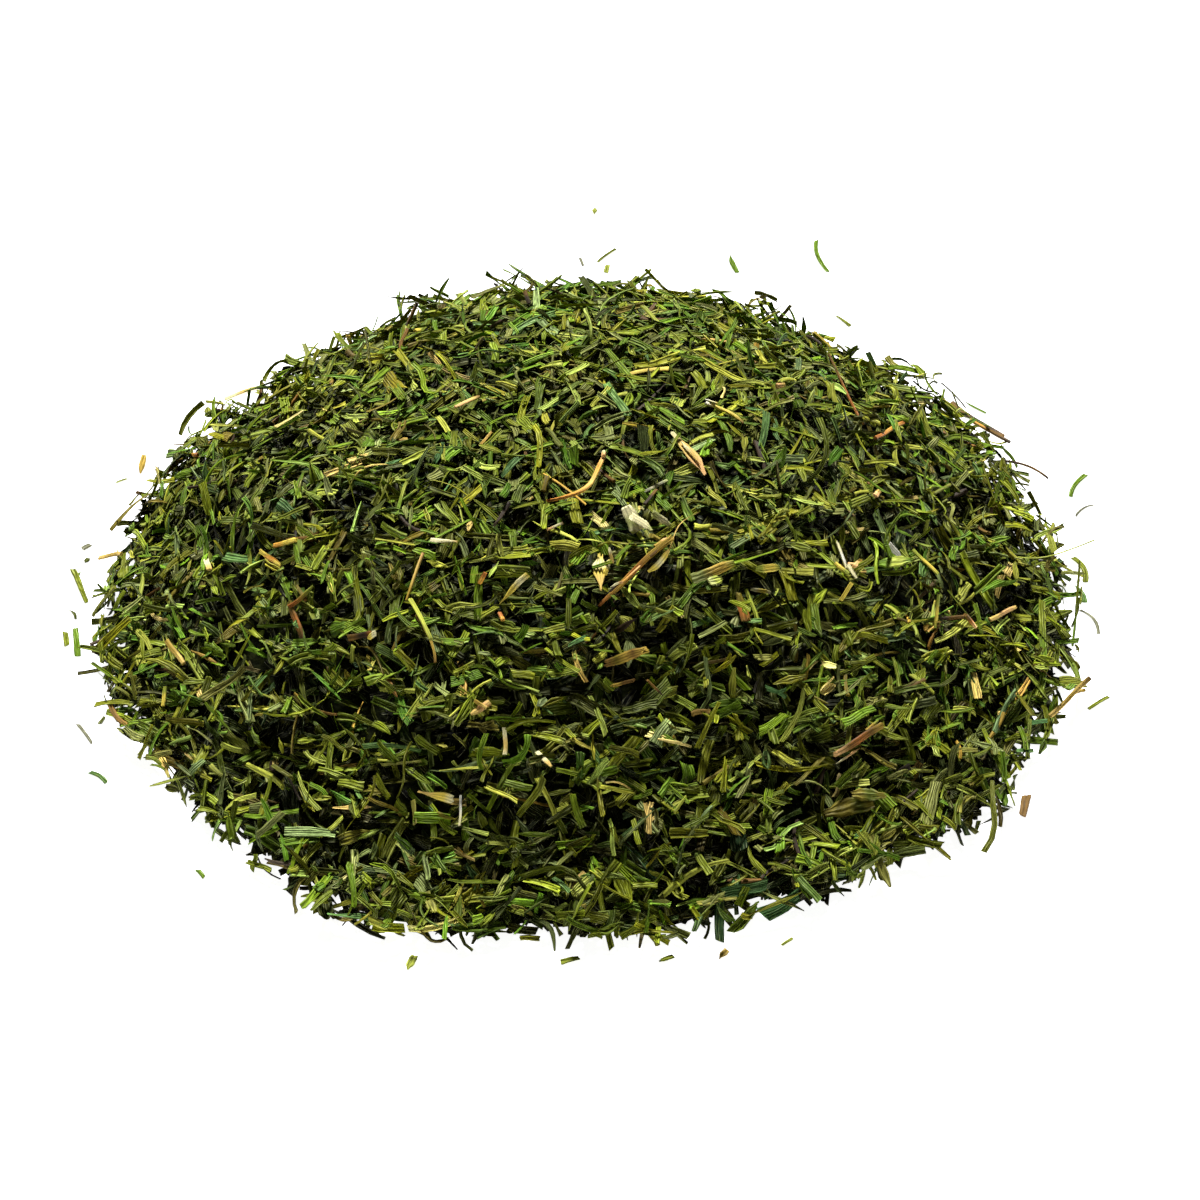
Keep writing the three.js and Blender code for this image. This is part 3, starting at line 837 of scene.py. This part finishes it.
HEAP_NODE = "leaf_flake_heap"
LEAF_KINDS = [  # piece, share of the flakes, stations, section and its ribs, bow, arch and twist
    ("leaf_strips_1", 0.27, 5, TWO_RIBS, 3, 0.03, 0.03, 0.3),
    ("leaf_strips_2", 0.27, 5, TWO_RIBS, 3, 0.03, 0.03, 0.3),
    ("wide_leaf_strips", 0.08, 5, THREE_RIBS, 5, 0.025, 0.03, 0.2),
    ("bent_leaf_strips", 0.12, 6, TWO_RIBS, 3, 0.085, 0.07, 0.7),
    ("forked_leaf_flakes", 0.07, 5, TWO_RIBS, 3, 0.03, 0.03, 0.3),
    ("leaf_threads", 0.05, 9, CRUMB, 1, 0.14, 0.1, 0.8),
    ("broad_leaf_scraps", 0.02, 6, SHEET, 6, 0.03, 0.06, 0.2),
    ("stem_bits", 0.035, 6, ribbed(2), 2, 0.05, 0.04, 0.1),
    ("leaf_crumbs", 0.085, 3, CRUMB, 2, 0.028, 0.03, 0.3),
]
LEAF_SIZES = {  # length and width, each as its middle value, spread, least and most
    "leaf_strips_1": ((2.7, 0.34, 1.0, 6.5), (0.56, 0.24, 0.30, 0.95)),
    "leaf_strips_2": ((3.0, 0.34, 1.1, 7.0), (0.66, 0.22, 0.36, 1.10)),
    "wide_leaf_strips": ((3.2, 0.30, 1.6, 6.5), (0.96, 0.15, 0.75, 1.4)),
    "bent_leaf_strips": ((3.4, 0.32, 1.6, 7.5), (0.54, 0.20, 0.32, 0.88)),
    "forked_leaf_flakes": ((3.1, 0.28, 1.8, 6.0), (0.54, 0.20, 0.32, 0.84)),
    "leaf_threads": ((4.4, 0.30, 2.2, 9.0), (0.30, 0.22, 0.20, 0.5)),
    "broad_leaf_scraps": ((2.7, 0.30, 1.4, 4.8), (1.45, 0.20, 1.1, 2.1)),
    "stem_bits": ((3.2, 0.35, 1.5, 8.0), (0.44, 0.25, 0.26, 0.70)),
    "leaf_crumbs": ((1.4, 0.30, 0.6, 2.4), (0.50, 0.25, 0.28, 0.9)),
}


def drop(pile, flakes, shape, x, y, turn, tints, roll=0.0, lift=0.0, press=NESTING):
    """Lets a flake down on the pile."""
    middle, axes = pile.rest(x, y, turn, shape, roll, lift, press)
    flakes.add(shape, middle, axes, tints)
    return middle, axes, pile.cover(middle, axes, shape)


def turned_by(axes, turn):
    """A flake's directions, turned in its own plane."""
    along = axes[0] * math.cos(turn) + axes[1] * math.sin(turn)
    across = axes[1] * math.cos(turn) - axes[0] * math.sin(turn)
    return np.array([along, across, axes[2]])


def fork(flakes, shape, middle, axes, tints):
    """One or two side lobes on a leaf flake, as on a cut piece of a divided leaf."""
    for side in (1, -1) if rng.random() < FORK_BOTH else (rng.choice([-1, 1]),):
        turned = turned_by(axes, side * math.radians(rng.uniform(*FORK_TURN)))
        length = shape["length"] * rng.uniform(*FORK_LENGTH)
        root = shape["length"] * rng.uniform(*FORK_ROOT)
        lobe = dict(leaf_shape(length, shape["width"] * rng.uniform(*FORK_WIDTH), 0.04, 0.03), twist=0.0)
        start = middle + axes[0] * root + axes[1] * shape["bow"] * 0.8
        flakes.add(lobe, start + turned[0] * length * 0.46, turned, tints)  # its root is inside the flake


def fill(pile, kinds, count, low, high, tries):
    """Lets down flakes of all kinds within a ring of the foot."""
    shares = np.cumsum([share for _, share, *_ in LEAF_KINDS])
    for _ in range(count):
        name, _, _, _, _, *bends = LEAF_KINDS[int(np.searchsorted(shares, rng.random() * shares[-1]))]
        length, width = LEAF_SIZES[name]
        shape = leaf_shape(spread(*length), spread(*width), *bends)
        if name == "stem_bits":
            shape["thick"] = shape["width"] * STEM_ROUNDNESS
        elif name == "broad_leaf_scraps":
            shape["thick"] = BROAD_THICKNESS
        broad = width[0] > BROAD_FROM
        roll = 0.0 if broad else rng.normal(0, ROLL[0]) + (rng.random() < ROLLED) * rng.normal(0, ROLL[1])
        lift = (not broad and rng.random() < LIFTED) * rng.normal(0, LIFT[0])
        standing = not broad and rng.random() < STANDING
        lift += standing * rng.normal(0, LIFT[1])
        tints = mixed_tint(STEM_MIX if name == "stem_bits" else LEAF_MIX)
        for _ in range(PLACES):
            x, y = pile.emptiest(low, high, tries)
            middle, axes = pile.rest(x, y, rng.uniform(0, 2 * math.pi), shape, roll, lift)
            half = axes[0] * shape["length"] / 2
            tip = middle[2] + abs(half[2])
            under = pile.cell(x + half[0] * ALONG, y + half[1] * ALONG)
            if tip < pile.full[pile.cell(x, y)] + PROUD[standing] and not pile.kept_clear[under].any():
                break
        kinds[name].add(shape, middle, axes, tints)
        pile.cover(middle, axes, shape)
        if name == "forked_leaf_flakes":
            fork(kinds[name], shape, middle, axes, tints)


def shade_by_depth(pile, flakes):
    """Darkens the flakes that lie in hollows and under others: painted shade, for the shadow that falls
    there.
    """
    middles = np.array(flakes.middle)
    surface = smoothed(pile.top, SURFACE_REACH)[pile.cell(middles[:, 0], middles[:, 1])]
    depth = np.maximum(0, surface - middles[:, 2] - SHADE_FREE)
    for number, dark in enumerate(np.exp(-SHADE_DEPTH * depth)):
        flakes.tints[number] = flakes.tints[number] * dark


# ---- strands that are placed one by one ----

STRAND_GROOVE = 0.3
STRAND_SWAY = 0.01  # as a share of the length
# Each row has the ends of a strand as the camera sees them, in parts of the view across and down, its width
# and thickness, its bow to the left of the way from the first end to the second, its tints from end to end,
# and changes to its shape
SCRAPS = {  # node, with its look, the ribs of its strands, and a row for each strand
    "curved_straw_stem": (STRAW, 3, [
        (548, 509, 604, 461, 0.52, 0.5, -2.4, "rust amber straw amber peach", dict(
            narrow_low=0.65, sway=0.6)),
        (603.4, 467, 603.9, 460, 0.5, 0.45, 0, "peach peach cream cream", dict(narrow_high=0.6)),
    ]),
    "papery_sheath": (PAPERY, 4, [
        (672, 442, 705, 483, 1.25, 0.3, 0.1, "cream straw straw peach peach", dict(
            narrow_low=0.35, span_low=0.62, narrow_high=0.3, span_high=0.35,
            groove=0.5, arch=0.15, jag=0.25)),
        (681, 453, 700, 476, 0.4, 0.3, 0.05, "cream straw peach", dict(narrow_low=0.3, narrow_high=0.3)),
    ]),
    "split_straw_stem": (STRAW, 2, [
        (705, 412, 742, 435, 0.45, 0.4, 0.3, "white gold gold gold brown", dict(narrow_high=0.6)),
        (705, 408.5, 717, 418, 0.24, 0.2, 0, "white cream gold", dict(narrow_low=0.4)),
    ]),
    "long_brown_stem": (BROWN_STEM, 4, [
        (606, 618, 663, 551, 0.62, 0.45, 0.15, "rust ochre rust ochre ochre", dict(
            narrow_low=0.6, jag=0.7)),
        # a thin lighter strand on the stem's top: painted highlight along its lit edge
        (613, 611, 660, 556, 0.16, 0.2, 0.1, "ochre amber peach amber ochre", dict(narrow_low=0.5)),
        (608, 621, 618, 606, 0.3, 0.25, 0, "black brown", dict(narrow_low=0.2, jag=0.5)),
        (611, 617, 622, 607, 0.26, 0.2, 0.1, "cream peach", dict(narrow_low=0.2, jag=0.4)),
        (654, 560, 666, 549, 0.3, 0.3, 0, "ochre peach", dict(narrow_high=0.3)),
    ]),
    "forked_straw_scrap": (STRAW, 4, [
        (600, 596, 599, 558.5, 1.4, 0.3, 0.1, "straw gold cream gold", dict(
            narrow_low=0.15, span_low=0.55, narrow_high=0.35, span_high=0.3, groove=0.8, jag=0.5)),
        (605, 588, 609, 568, 0.6, 0.3, 0, "gold cream gold", dict(narrow_high=0.3)),
        (612, 566, 608, 552, 0.4, 0.3, 0, "straw cream", dict(narrow_high=0.4)),
    ]),
    "short_straw_stem_1": (STRAW, 2, [
        (648, 587.5, 665.7, 567.5, 0.8, 0.3, -0.3, "gold gold cream gold straw", dict(
            narrow_low=0.5, narrow_high=0.6)),
        (650, 578, 657, 572, 0.3, 0.25, 0, "brown", dict(narrow_high=0.4)),
    ]),
    "short_straw_stem_2": (STRAW, 2, [
        (460, 426, 482, 404, 0.5, 0.4, 0.05, "peach peach straw brown", dict(narrow_low=0.7)),
    ]),
    "short_straw_stem_3": (STRAW, 2, [
        (408, 602, 433, 560, 0.4, 0.35, 0.1, "ochre straw straw peach", dict(narrow_low=0.6)),
        (433, 553, 461, 554, 0.55, 0.3, 0, "cream cream straw", dict(narrow_high=0.35, span_high=0.8)),
    ]),
    "short_straw_stem_4": (STRAW, 2, [
        (275, 560.7, 300.5, 551.5, 0.6, 0.4, 0, "amber gold gold"),
        (274.5, 560.5, 293.8, 566.5, 0.6, 0.4, 0, "gold amber gold", dict(narrow_high=0.5)),
        (277, 563, 298, 572, 0.4, 0.3, 0, "amber gold", dict(narrow_high=0.5)),
    ]),
    "short_straw_stem_5": (STRAW, 2, [
        (500, 606, 526.5, 578.5, 0.66, 0.4, 0.1, "gold gold cream gold", dict(
            narrow_low=0.15, span_low=0.6, groove=1)),
    ]),
    "cream_leaf_scrap": (PAPERY, 3, [
        (625, 516, 635, 534, 1.45, 0.2, 0.1, "cream milky cream", dict(
            groove=-0.2, jag=0.4, narrow_low=0.8)),
        (632, 529, 651, 538, 1.15, 0.2, 0.1, "cream cream milky", dict(
            groove=-0.2, jag=0.4, narrow_high=0.5)),
    ]),
    "broad_straw_scrap": (PAPERY, 3, [
        (424.5, 801.5, 454, 806, 1.05, 0.3, 0, "straw gold gold cream", dict(
            narrow_low=0.2, span_low=0.8, jag=0.4)),
    ]),
    "brown_stem_right": (BROWN_STEM, 3, [
        (833, 776, 876.5, 744, 0.8, 0.6, 0, "peach brown rust brown ochre", dict(narrow_low=0.7, jag=0.3)),
        (864, 757, 882, 741, 0.3, 0.25, 0.1, "lime gold lime", dict(narrow_high=0.3)),
        (864, 752, 877, 738, 0.26, 0.25, 0, "ochre lime", dict(narrow_high=0.3)),
        (836, 779, 856, 764, 0.2, 0.3, 0, "cream peach brown", dict(narrow_low=0.4, narrow_high=0.2)),
    ]),
    "brown_stem_left": (BROWN_STEM, 3, [
        (306, 611, 310, 651, 0.72, 0.55, 0.05, "umber brown rust brown black", dict(
            narrow_high=0.8, jag=0.3)),
        (299.5, 604, 307, 620, 0.42, 0.4, 0, "umber brown", dict(narrow_low=0.7)),
        (306, 616, 328, 593, 0.45, 0.4, -0.15, "rust ochre lime lime", dict(narrow_high=0.5)),
    ]),
    "striped_stem_front": (STRIPED, 4, [
        (606, 690, 645, 694, 1.0, 0.5, 0, "brown umber ochre brown ochre", dict(
            narrow_low=0.8, narrow_high=0.7, jag=0.8, groove=-0.3)),
        (608, 694, 628, 698, 0.35, 0.4, 0, "ochre brown brown", dict(jag=0.5)),
        (637, 694, 660, 706, 0.3, 0.25, -0.1, "brown black", dict(narrow_high=0.4)),
    ]),
    "pale_straw_right_1": (PAPERY, 3, [
        (833.7, 555, 843.7, 579, 0.8, 0.35, 0.1, "cream white white cream", dict(
            narrow_high=0.5, jag=0.4, groove=0.8)),
    ]),
    "pale_straw_right_2": (STRAW, 2, [
        (944, 636, 961, 647, 0.62, 0.45, 0, "brown rust peach peach", dict(narrow_high=0.7)),
        (930, 628, 948, 639, 0.45, 0.4, 0, "black brown brown", dict(narrow_low=0.4)),
    ]),
    "olive_leaf_scrap": (OLIVE_LEAF, 3, [
        (826, 816, 864, 816, 1.9, 0.3, 0.1, "umber umber dark umber", dict(
            narrow_low=0.5, span_low=0.3, narrow_high=0.8, span_high=0.2, jag=0.6, arch=0.1, groove=-0.12)),
        (852, 813, 879, 820, 1.5, 0.3, 0.1, "umber dark umber", dict(
            narrow_low=0.6, narrow_high=0.5, span_high=0.3, jag=0.6, groove=-0.12)),
    ]),
}

PAPER_BITS = [
    (884, 562, 896, 572, 0.7, 0.25, 0, "white", dict(narrow_high=0.6, jag=0.3)),
    (461, 802, 460, 834, 0.3, 0.25, 0.1, "white cream"),
    (503, 725, 504, 753, 0.45, 0.3, 0.1, "cream straw cream"),
    (539, 775, 550, 795, 0.6, 0.3, 0, "cream straw", dict(narrow_high=0.5)),
    (653, 521, 669, 529, 0.75, 0.25, 0, "milky cream milky", dict(narrow_high=0.6, jag=0.4)),
    (642, 490, 666, 480, 0.42, 0.3, 0, "grey cream grey milky"),
    (845, 581, 855, 594, 0.8, 0.25, 0, "cream", dict(narrow_high=0.5)),
    (372, 645, 390, 640, 0.7, 0.3, 0, "gold cream", dict(narrow_low=0.5)),
    (210, 577, 217, 588, 0.6, 0.3, 0, "cream straw"),
    (225, 400, 260, 388, 0.5, 0.3, 0.2, "cream straw lime"),
    (750, 593, 768, 601, 0.75, 0.25, 0.1, "cream gold cream", dict(narrow_low=0.5, narrow_high=0.7)),
    (547, 538, 563, 532, 0.3, 0.25, 0, "peach cream brown"),
]

STEM_BITS = [
    (907.7, 604.5, 920, 634.5, 0.5, 0.3, 0, "lime gold lime"),
    (920, 634.5, 926, 608, 0.5, 0.3, 0, "lime lime gold"),
    (912, 565, 935, 592, 0.45, 0.35, 0, "lime gold lime"),
    (473, 733, 489, 717, 0.7, 0.35, 0, "straw peach straw", dict(narrow_low=0.5)),
    (476, 721, 486, 731, 0.4, 0.3, 0, "ochre straw"),
    (99, 560, 128, 575, 0.6, 0.4, 0.1, "straw ochre straw"),
    (170, 660, 185, 680, 0.6, 0.4, 0, "ochre straw"),
    (163, 716, 171, 698, 0.5, 0.35, 0, "gold lime"),
    (204, 452, 212, 466, 0.5, 0.4, 0, "amber rust"),
    (1040, 735, 1078, 710, 0.55, 0.45, 0, "straw ochre straw brown"),
    (1073, 704, 1083, 717, 0.45, 0.4, 0, "brown ochre"),
    (977, 625, 1007, 622, 0.5, 0.4, 0, "straw peach straw"),
    (998, 478, 1050, 480, 0.28, 0.28, 0.9, "black brown black"),
    (952, 404, 1003, 438, 0.6, 0.5, -0.3, "brown black brown"),
    (962, 438, 1002, 457, 0.6, 0.45, 0, "amber brown black"),
    (212, 400, 238, 432, 0.35, 0.3, 0.6, "cream straw cream"),
    (397, 325, 430, 333, 0.5, 0.45, 0, "black brown black", dict(lift=0.5)),
    (529, 313, 526, 297, 0.5, 0.4, 0, "black brown", dict(lift=1.0)),
    (362, 337, 372, 343, 0.5, 0.4, 0, "peach"),
    (421, 342, 424, 330, 0.6, 0.4, 0, "gold lime", dict(narrow_high=0.3)),
    (825, 380, 862, 442, 0.32, 0.3, 0.5, "brown rust brown"),
    (860, 451, 898, 449, 0.5, 0.4, 0, "rust amber rust"),
    (352, 655, 372, 643, 0.7, 0.5, 0, "brown black rust"),
    (428, 618, 437, 670, 0.3, 0.28, 0.4, "brown ochre brown"),
    (302, 705, 345, 725, 0.3, 0.28, -0.7, "ochre brown"),
    (774, 405, 782, 398, 0.6, 0.4, 0, "peach straw"),
    (870, 515, 880, 509, 0.6, 0.4, 0, "peach ochre"),
    (480, 592, 488, 583, 0.5, 0.4, 0, "amber rust"),
    (499.8, 621.8, 503, 632, 0.5, 0.4, 0, "rust amber"),
    (845, 580, 861, 567, 0.5, 0.4, 0, "peach ochre"),
    (847, 570, 855, 577, 0.4, 0.3, 0, "peach"),
    (833.5, 580, 845, 594, 0.5, 0.4, 0, "gold lime"),
    (828, 601, 833, 585, 0.45, 0.4, 0, "gold"),
    (644, 513, 656, 493, 0.4, 0.35, 0, "black brown"),
    (737, 603, 744, 626, 1.1, 0.3, 0, "umber rust brown", dict(narrow_low=0.6, jag=0.5)),
]

GREEN_BITS = [
    (867, 566, 892, 581, 1.9, 0.3, 0, "fresh lime fresh", dict(
        narrow_low=0.5, narrow_high=0.4, jag=0.5, groove=0.5)),
    (1047, 715, 1073, 685, 0.7, 0.25, 0, "fresh olive"),
    (1030, 620, 1040, 720, 0.9, 0.25, 0.4, "olive fresh olive"),
    (1062, 600, 1078, 658, 0.7, 0.25, 0.3, "olive fresh"),
    (1035, 635, 1065, 658, 0.6, 0.25, 0, "lime olive"),
    (523, 307, 500, 301, 0.6, 0.25, 0, "fresh olive", dict(lift=0.6)),
    (715, 318, 760, 318, 0.45, 0.25, 0.7, "fresh lime olive", dict(lift=0.3)),
    (745, 325, 751, 315, 0.4, 0.25, 0, "olive", dict(lift=0.6)),
    (826, 431, 840, 444, 1.1, 0.25, 0, "bluish grey bluish", dict(narrow_high=0.5)),
    (397, 526, 414, 476, 0.45, 0.25, 0.3, "fresh lime fresh"),
    (405, 505, 421, 489, 0.4, 0.25, 0, "fresh lime"),
    (592, 578, 612, 574, 0.5, 0.25, 0, "fresh olive"),
    (665.7, 461.3, 679, 445.5, 0.4, 0.25, 0, "fresh lime fresh"),
    (706, 602, 723, 592, 1.1, 0.25, 0, "milky lime lime", dict(narrow_low=0.7, narrow_high=0.4)),
    (753, 586, 776, 590, 0.9, 0.25, 0, "lime gold lime", dict(narrow_low=0.5, narrow_high=0.6)),
    (691, 592, 732, 580, 1.1, 0.3, 0, "sage ochre olive", dict(narrow_high=0.7)),
]


def seen_at(pile, across, down):
    """Where the camera sees the pile's surface or the table, at a point of the view."""
    aside, above = across / VIEW_PARTS - 0.5, 0.5 - down / VIEW_PARTS
    ray = RIGHT * aside * VIEW_WIDTH + UP * above * VIEW_WIDTH
    points = np.array(AIM) + BACK * CAMERA_DISTANCE + ALONG_RAY * (ray - BACK * CAMERA_DISTANCE)
    surface = pile.even_top[pile.cell(points[:, 0], points[:, 1])]
    return points[np.argmax(points[:, 2] <= surface)]


def lay(pile, flakes, row):
    """Lays a strand where the camera sees it."""
    x1, y1, x2, y2, width, thick, bow, names, *more = row
    changes = more[0] if more else {}
    first, second = seen_at(pile, x1, y1), seen_at(pile, x2, y2)
    across, rise = (x2 - x1) * VIEW_WIDTH / VIEW_PARTS, (y1 - y2) * VIEW_WIDTH / VIEW_PARTS
    level = RIGHT * across + UP * rise
    if math.dist(first, second) > MOST_DRAWN_OUT * math.hypot(across, rise):
        first, second = (first, first + level) if first[1] < second[1] else (second - level, second)
    (x, y, _), (dx, dy, _) = (first + second) / 2, second - first
    length = math.sqrt(((second - first) ** 2).sum())
    shape = strip(length, width, thick=thick, bow=bow, groove=STRAND_GROOVE, sway=STRAND_SWAY * length)
    shape.update(changes)
    tints, lift = named_tints(names), changes.get("lift", 0.0)
    _, _, cells = drop(pile, flakes, shape, x, y, math.atan2(dy, dx), tints, 0.0, lift, SCRAP_NESTING)
    pile.keep_clear(*cells)


def lay_scraps(pile):
    """The stem bits and papery scraps that stand out: a piece for each, and three of smaller ones."""
    groups = [(node + "_detail", SCRAP_STATIONS, node, *scrap) for node, scrap in SCRAPS.items()]
    groups += [
        ("small_papery_bits", BIT_STATIONS, HEAP_NODE, PAPERY, 3, PAPER_BITS),
        ("small_stem_bits", BIT_STATIONS, HEAP_NODE, STRAW, 2, STEM_BITS),
        ("picked_leaf_strips", BIT_STATIONS, HEAP_NODE, GREEN_LEAF, 3, GREEN_BITS),
    ]
    pieces = []
    for name, stations, node, look, ribs, rows in groups:
        flakes = Flakes(name, stations, ribbed(ribs), ribs)
        for row in rows:
            lay(pile, flakes, row)
        pieces.append((flakes, look, node))
    return pieces


def add_twig(flakes, middle, axes):
    """A short twig that branches off a loose flake."""
    length, width, thick = TWIG_SIZE
    branch = turned_by(axes, math.radians(TWIG_TURN))
    twig = strip(length, width, thick=thick, narrow_high=0.4)
    flakes.add(twig, middle - axes[0] * TWIG_FROM + branch[0] * TWIG_OUT, branch, named_tints("fresh"))


def lay_loose_flakes(pile):
    """The flakes that lie by themselves on the table, each a piece of its own."""
    pieces = []
    for number, (x, y, turn, length, width, bow, tint) in enumerate(LOOSE_FLAKES, 1):
        node = f"loose_flake_{number:02d}"
        flakes = Flakes(node + "_detail", BIT_STATIONS, ribbed(2), 2)
        shape = leaf_shape(length, LOOSE_WIDER * width, *LOOSE_BENDS)
        shape.update(thick=0.4 * width, bow=bow, arch=0.03 * length, groove=0.5)
        turn, tints = math.radians(turn), named_tints(tint)
        middle, axes, cells = drop(pile, flakes, shape, x, y, turn, tints, press=0.0)
        pile.keep_clear(*cells)
        if number == 1:
            add_twig(flakes, middle, axes)
        pieces.append((flakes, BROWN_STEM if tint == "brown" else GREEN_LEAF, node))
    return pieces


def core_mesh():
    """The inside of the heap, which shows only as darkness in the gaps."""
    rings, sectors = CORE_RINGS, CORE_SECTORS
    points = [(0.0, 0.0, float(dome_height(0.0, 0.0)) - BED_DEPTH)]
    for ring in range(1, rings + 1):
        for sector in range(sectors):
            angle = 2 * math.pi * sector / sectors
            ragged = CORE_REACH
            for number, height, start in CORE_WAVES:
                ragged += height * math.sin(number * angle + start)
            radius = float(rim_radius(angle)) * ring / rings * ragged
            x, y = radius * math.cos(angle), radius * math.sin(angle)
            points.append((x, y, max(0.0, float(dome_height(x, y)) - BED_DEPTH) if ring < rings else 0.0))
    points.append((0.0, 0.0, 0.0))
    faces = [(0, 1 + s, 1 + (s + 1) % sectors) for s in range(sectors)]
    for ring in range(rings - 1):
        low, high = 1 + ring * sectors, 1 + (ring + 1) * sectors
        for s in range(sectors):
            n = (s + 1) % sectors
            faces.append((low + s, high + s, high + n, low + n))
    edge = 1 + (rings - 1) * sectors
    faces += [(edge + (s + 1) % sectors, edge + s, len(points) - 1) for s in range(sectors)]
    mesh = bpy.data.meshes.new("heap_core")
    mesh.from_pydata([(x * MM, y * MM, z * MM) for x, y, z in points], [], faces)
    mesh.polygons.foreach_set("use_smooth", [True] * len(faces))
    return mesh


def deep_flakes(pile):
    """The flakes under the surface, which are seen only through its gaps."""
    count, *ring = DEEP_STAGE
    deep = Flakes("deep_leaf_flakes", 3, CRUMB, 2)
    for _ in range(count):
        x, y = pile.emptiest(*ring)
        shape = leaf_shape(spread(*DEEP_LENGTH), spread(*DEEP_WIDTH))
        turn = rng.uniform(0, 2 * math.pi)
        tints = mixed_tint(LEAF_MIX, DEEP_SHADE)
        drop(pile, deep, shape, x, y, turn, tints, rng.normal(0, DEEP_ROLL))
    return deep


def heap():
    """The whole heap: the deep flakes, the body, the scraps, and the last flakes over and round them."""
    pile = Pile()
    loose = lay_loose_flakes(pile)
    deep = deep_flakes(pile)
    kinds = {name: Flakes(name, *build) for name, _, *build, _, _, _ in LEAF_KINDS}
    pile.target = pile.full
    for stage in BODY_STAGES:
        fill(pile, kinds, *stage)
    scraps = lay_scraps(pile)
    for stage in LAST_STAGES:
        fill(pile, kinds, *stage)
    for flakes in (deep, *kinds.values()):
        shade_by_depth(pile, flakes)
    slot, finish = DARK_CORE
    placed(core_mesh(), finish, HEAP_NODE)
    pieces = [(deep, GREEN_LEAF, HEAP_NODE)]
    for name, flakes in kinds.items():
        pieces.append((flakes, STRAW if name == "stem_bits" else GREEN_LEAF, HEAP_NODE))
    for flakes, (slot, finish), node in pieces + scraps + loose:
        placed(mesh_of(flakes), finish, node)


heap()


# ---- the stage ----


def studio():
    """A white table, a large soft light from behind and above, and a little light from all round."""
    floor = bpy.data.meshes.new("floor")
    reach = TABLE_REACH
    corners = [(-reach, -reach, 0), (reach, -reach, 0), (reach, reach, 0), (-reach, reach, 0)]
    floor.from_pydata(corners, [], [(0, 1, 2, 3)])
    paint = Finish("white_table", Roughness=0.8, Base_Color=(0.9, 0.9, 0.9, 1))
    paint.shade(Emission_Color=(1, 1, 1, 1), Emission_Strength=TABLE_GLOW)
    floor.materials.append(paint.material)
    table = linked("floor", floor)
    table.location.z = -TABLE_GAP

    key = bpy.data.lights.new("key", "SUN")
    key.energy = KEY_POWER
    key.angle = KEY_ANGLE
    lamp = linked("key", key)
    lamp.rotation_euler = Vector(KEY_FROM).to_track_quat("Z", "Y").to_euler()

    world = bpy.data.worlds.new("studio")
    world.use_nodes = True
    world.node_tree.nodes["Background"].inputs["Color"].default_value = (1, 1, 1, 1)
    world.node_tree.nodes["Background"].inputs["Strength"].default_value = ROOM_LIGHT
    bpy.context.scene.world = world
    bpy.context.scene.view_settings.view_transform = "Standard"


def camera():
    data = bpy.data.cameras.new("camera")
    data.sensor_width = SENSOR
    data.lens = SENSOR * CAMERA_DISTANCE / VIEW_WIDTH
    data.clip_start = NEAREST
    body = linked("camera", data)
    back = Vector(BACK)
    body.location = (Vector(AIM) + back * CAMERA_DISTANCE) * MM
    body.rotation_euler = back.to_track_quat("Z", "Y").to_euler()
    bpy.context.scene.camera = body


studio()
camera()
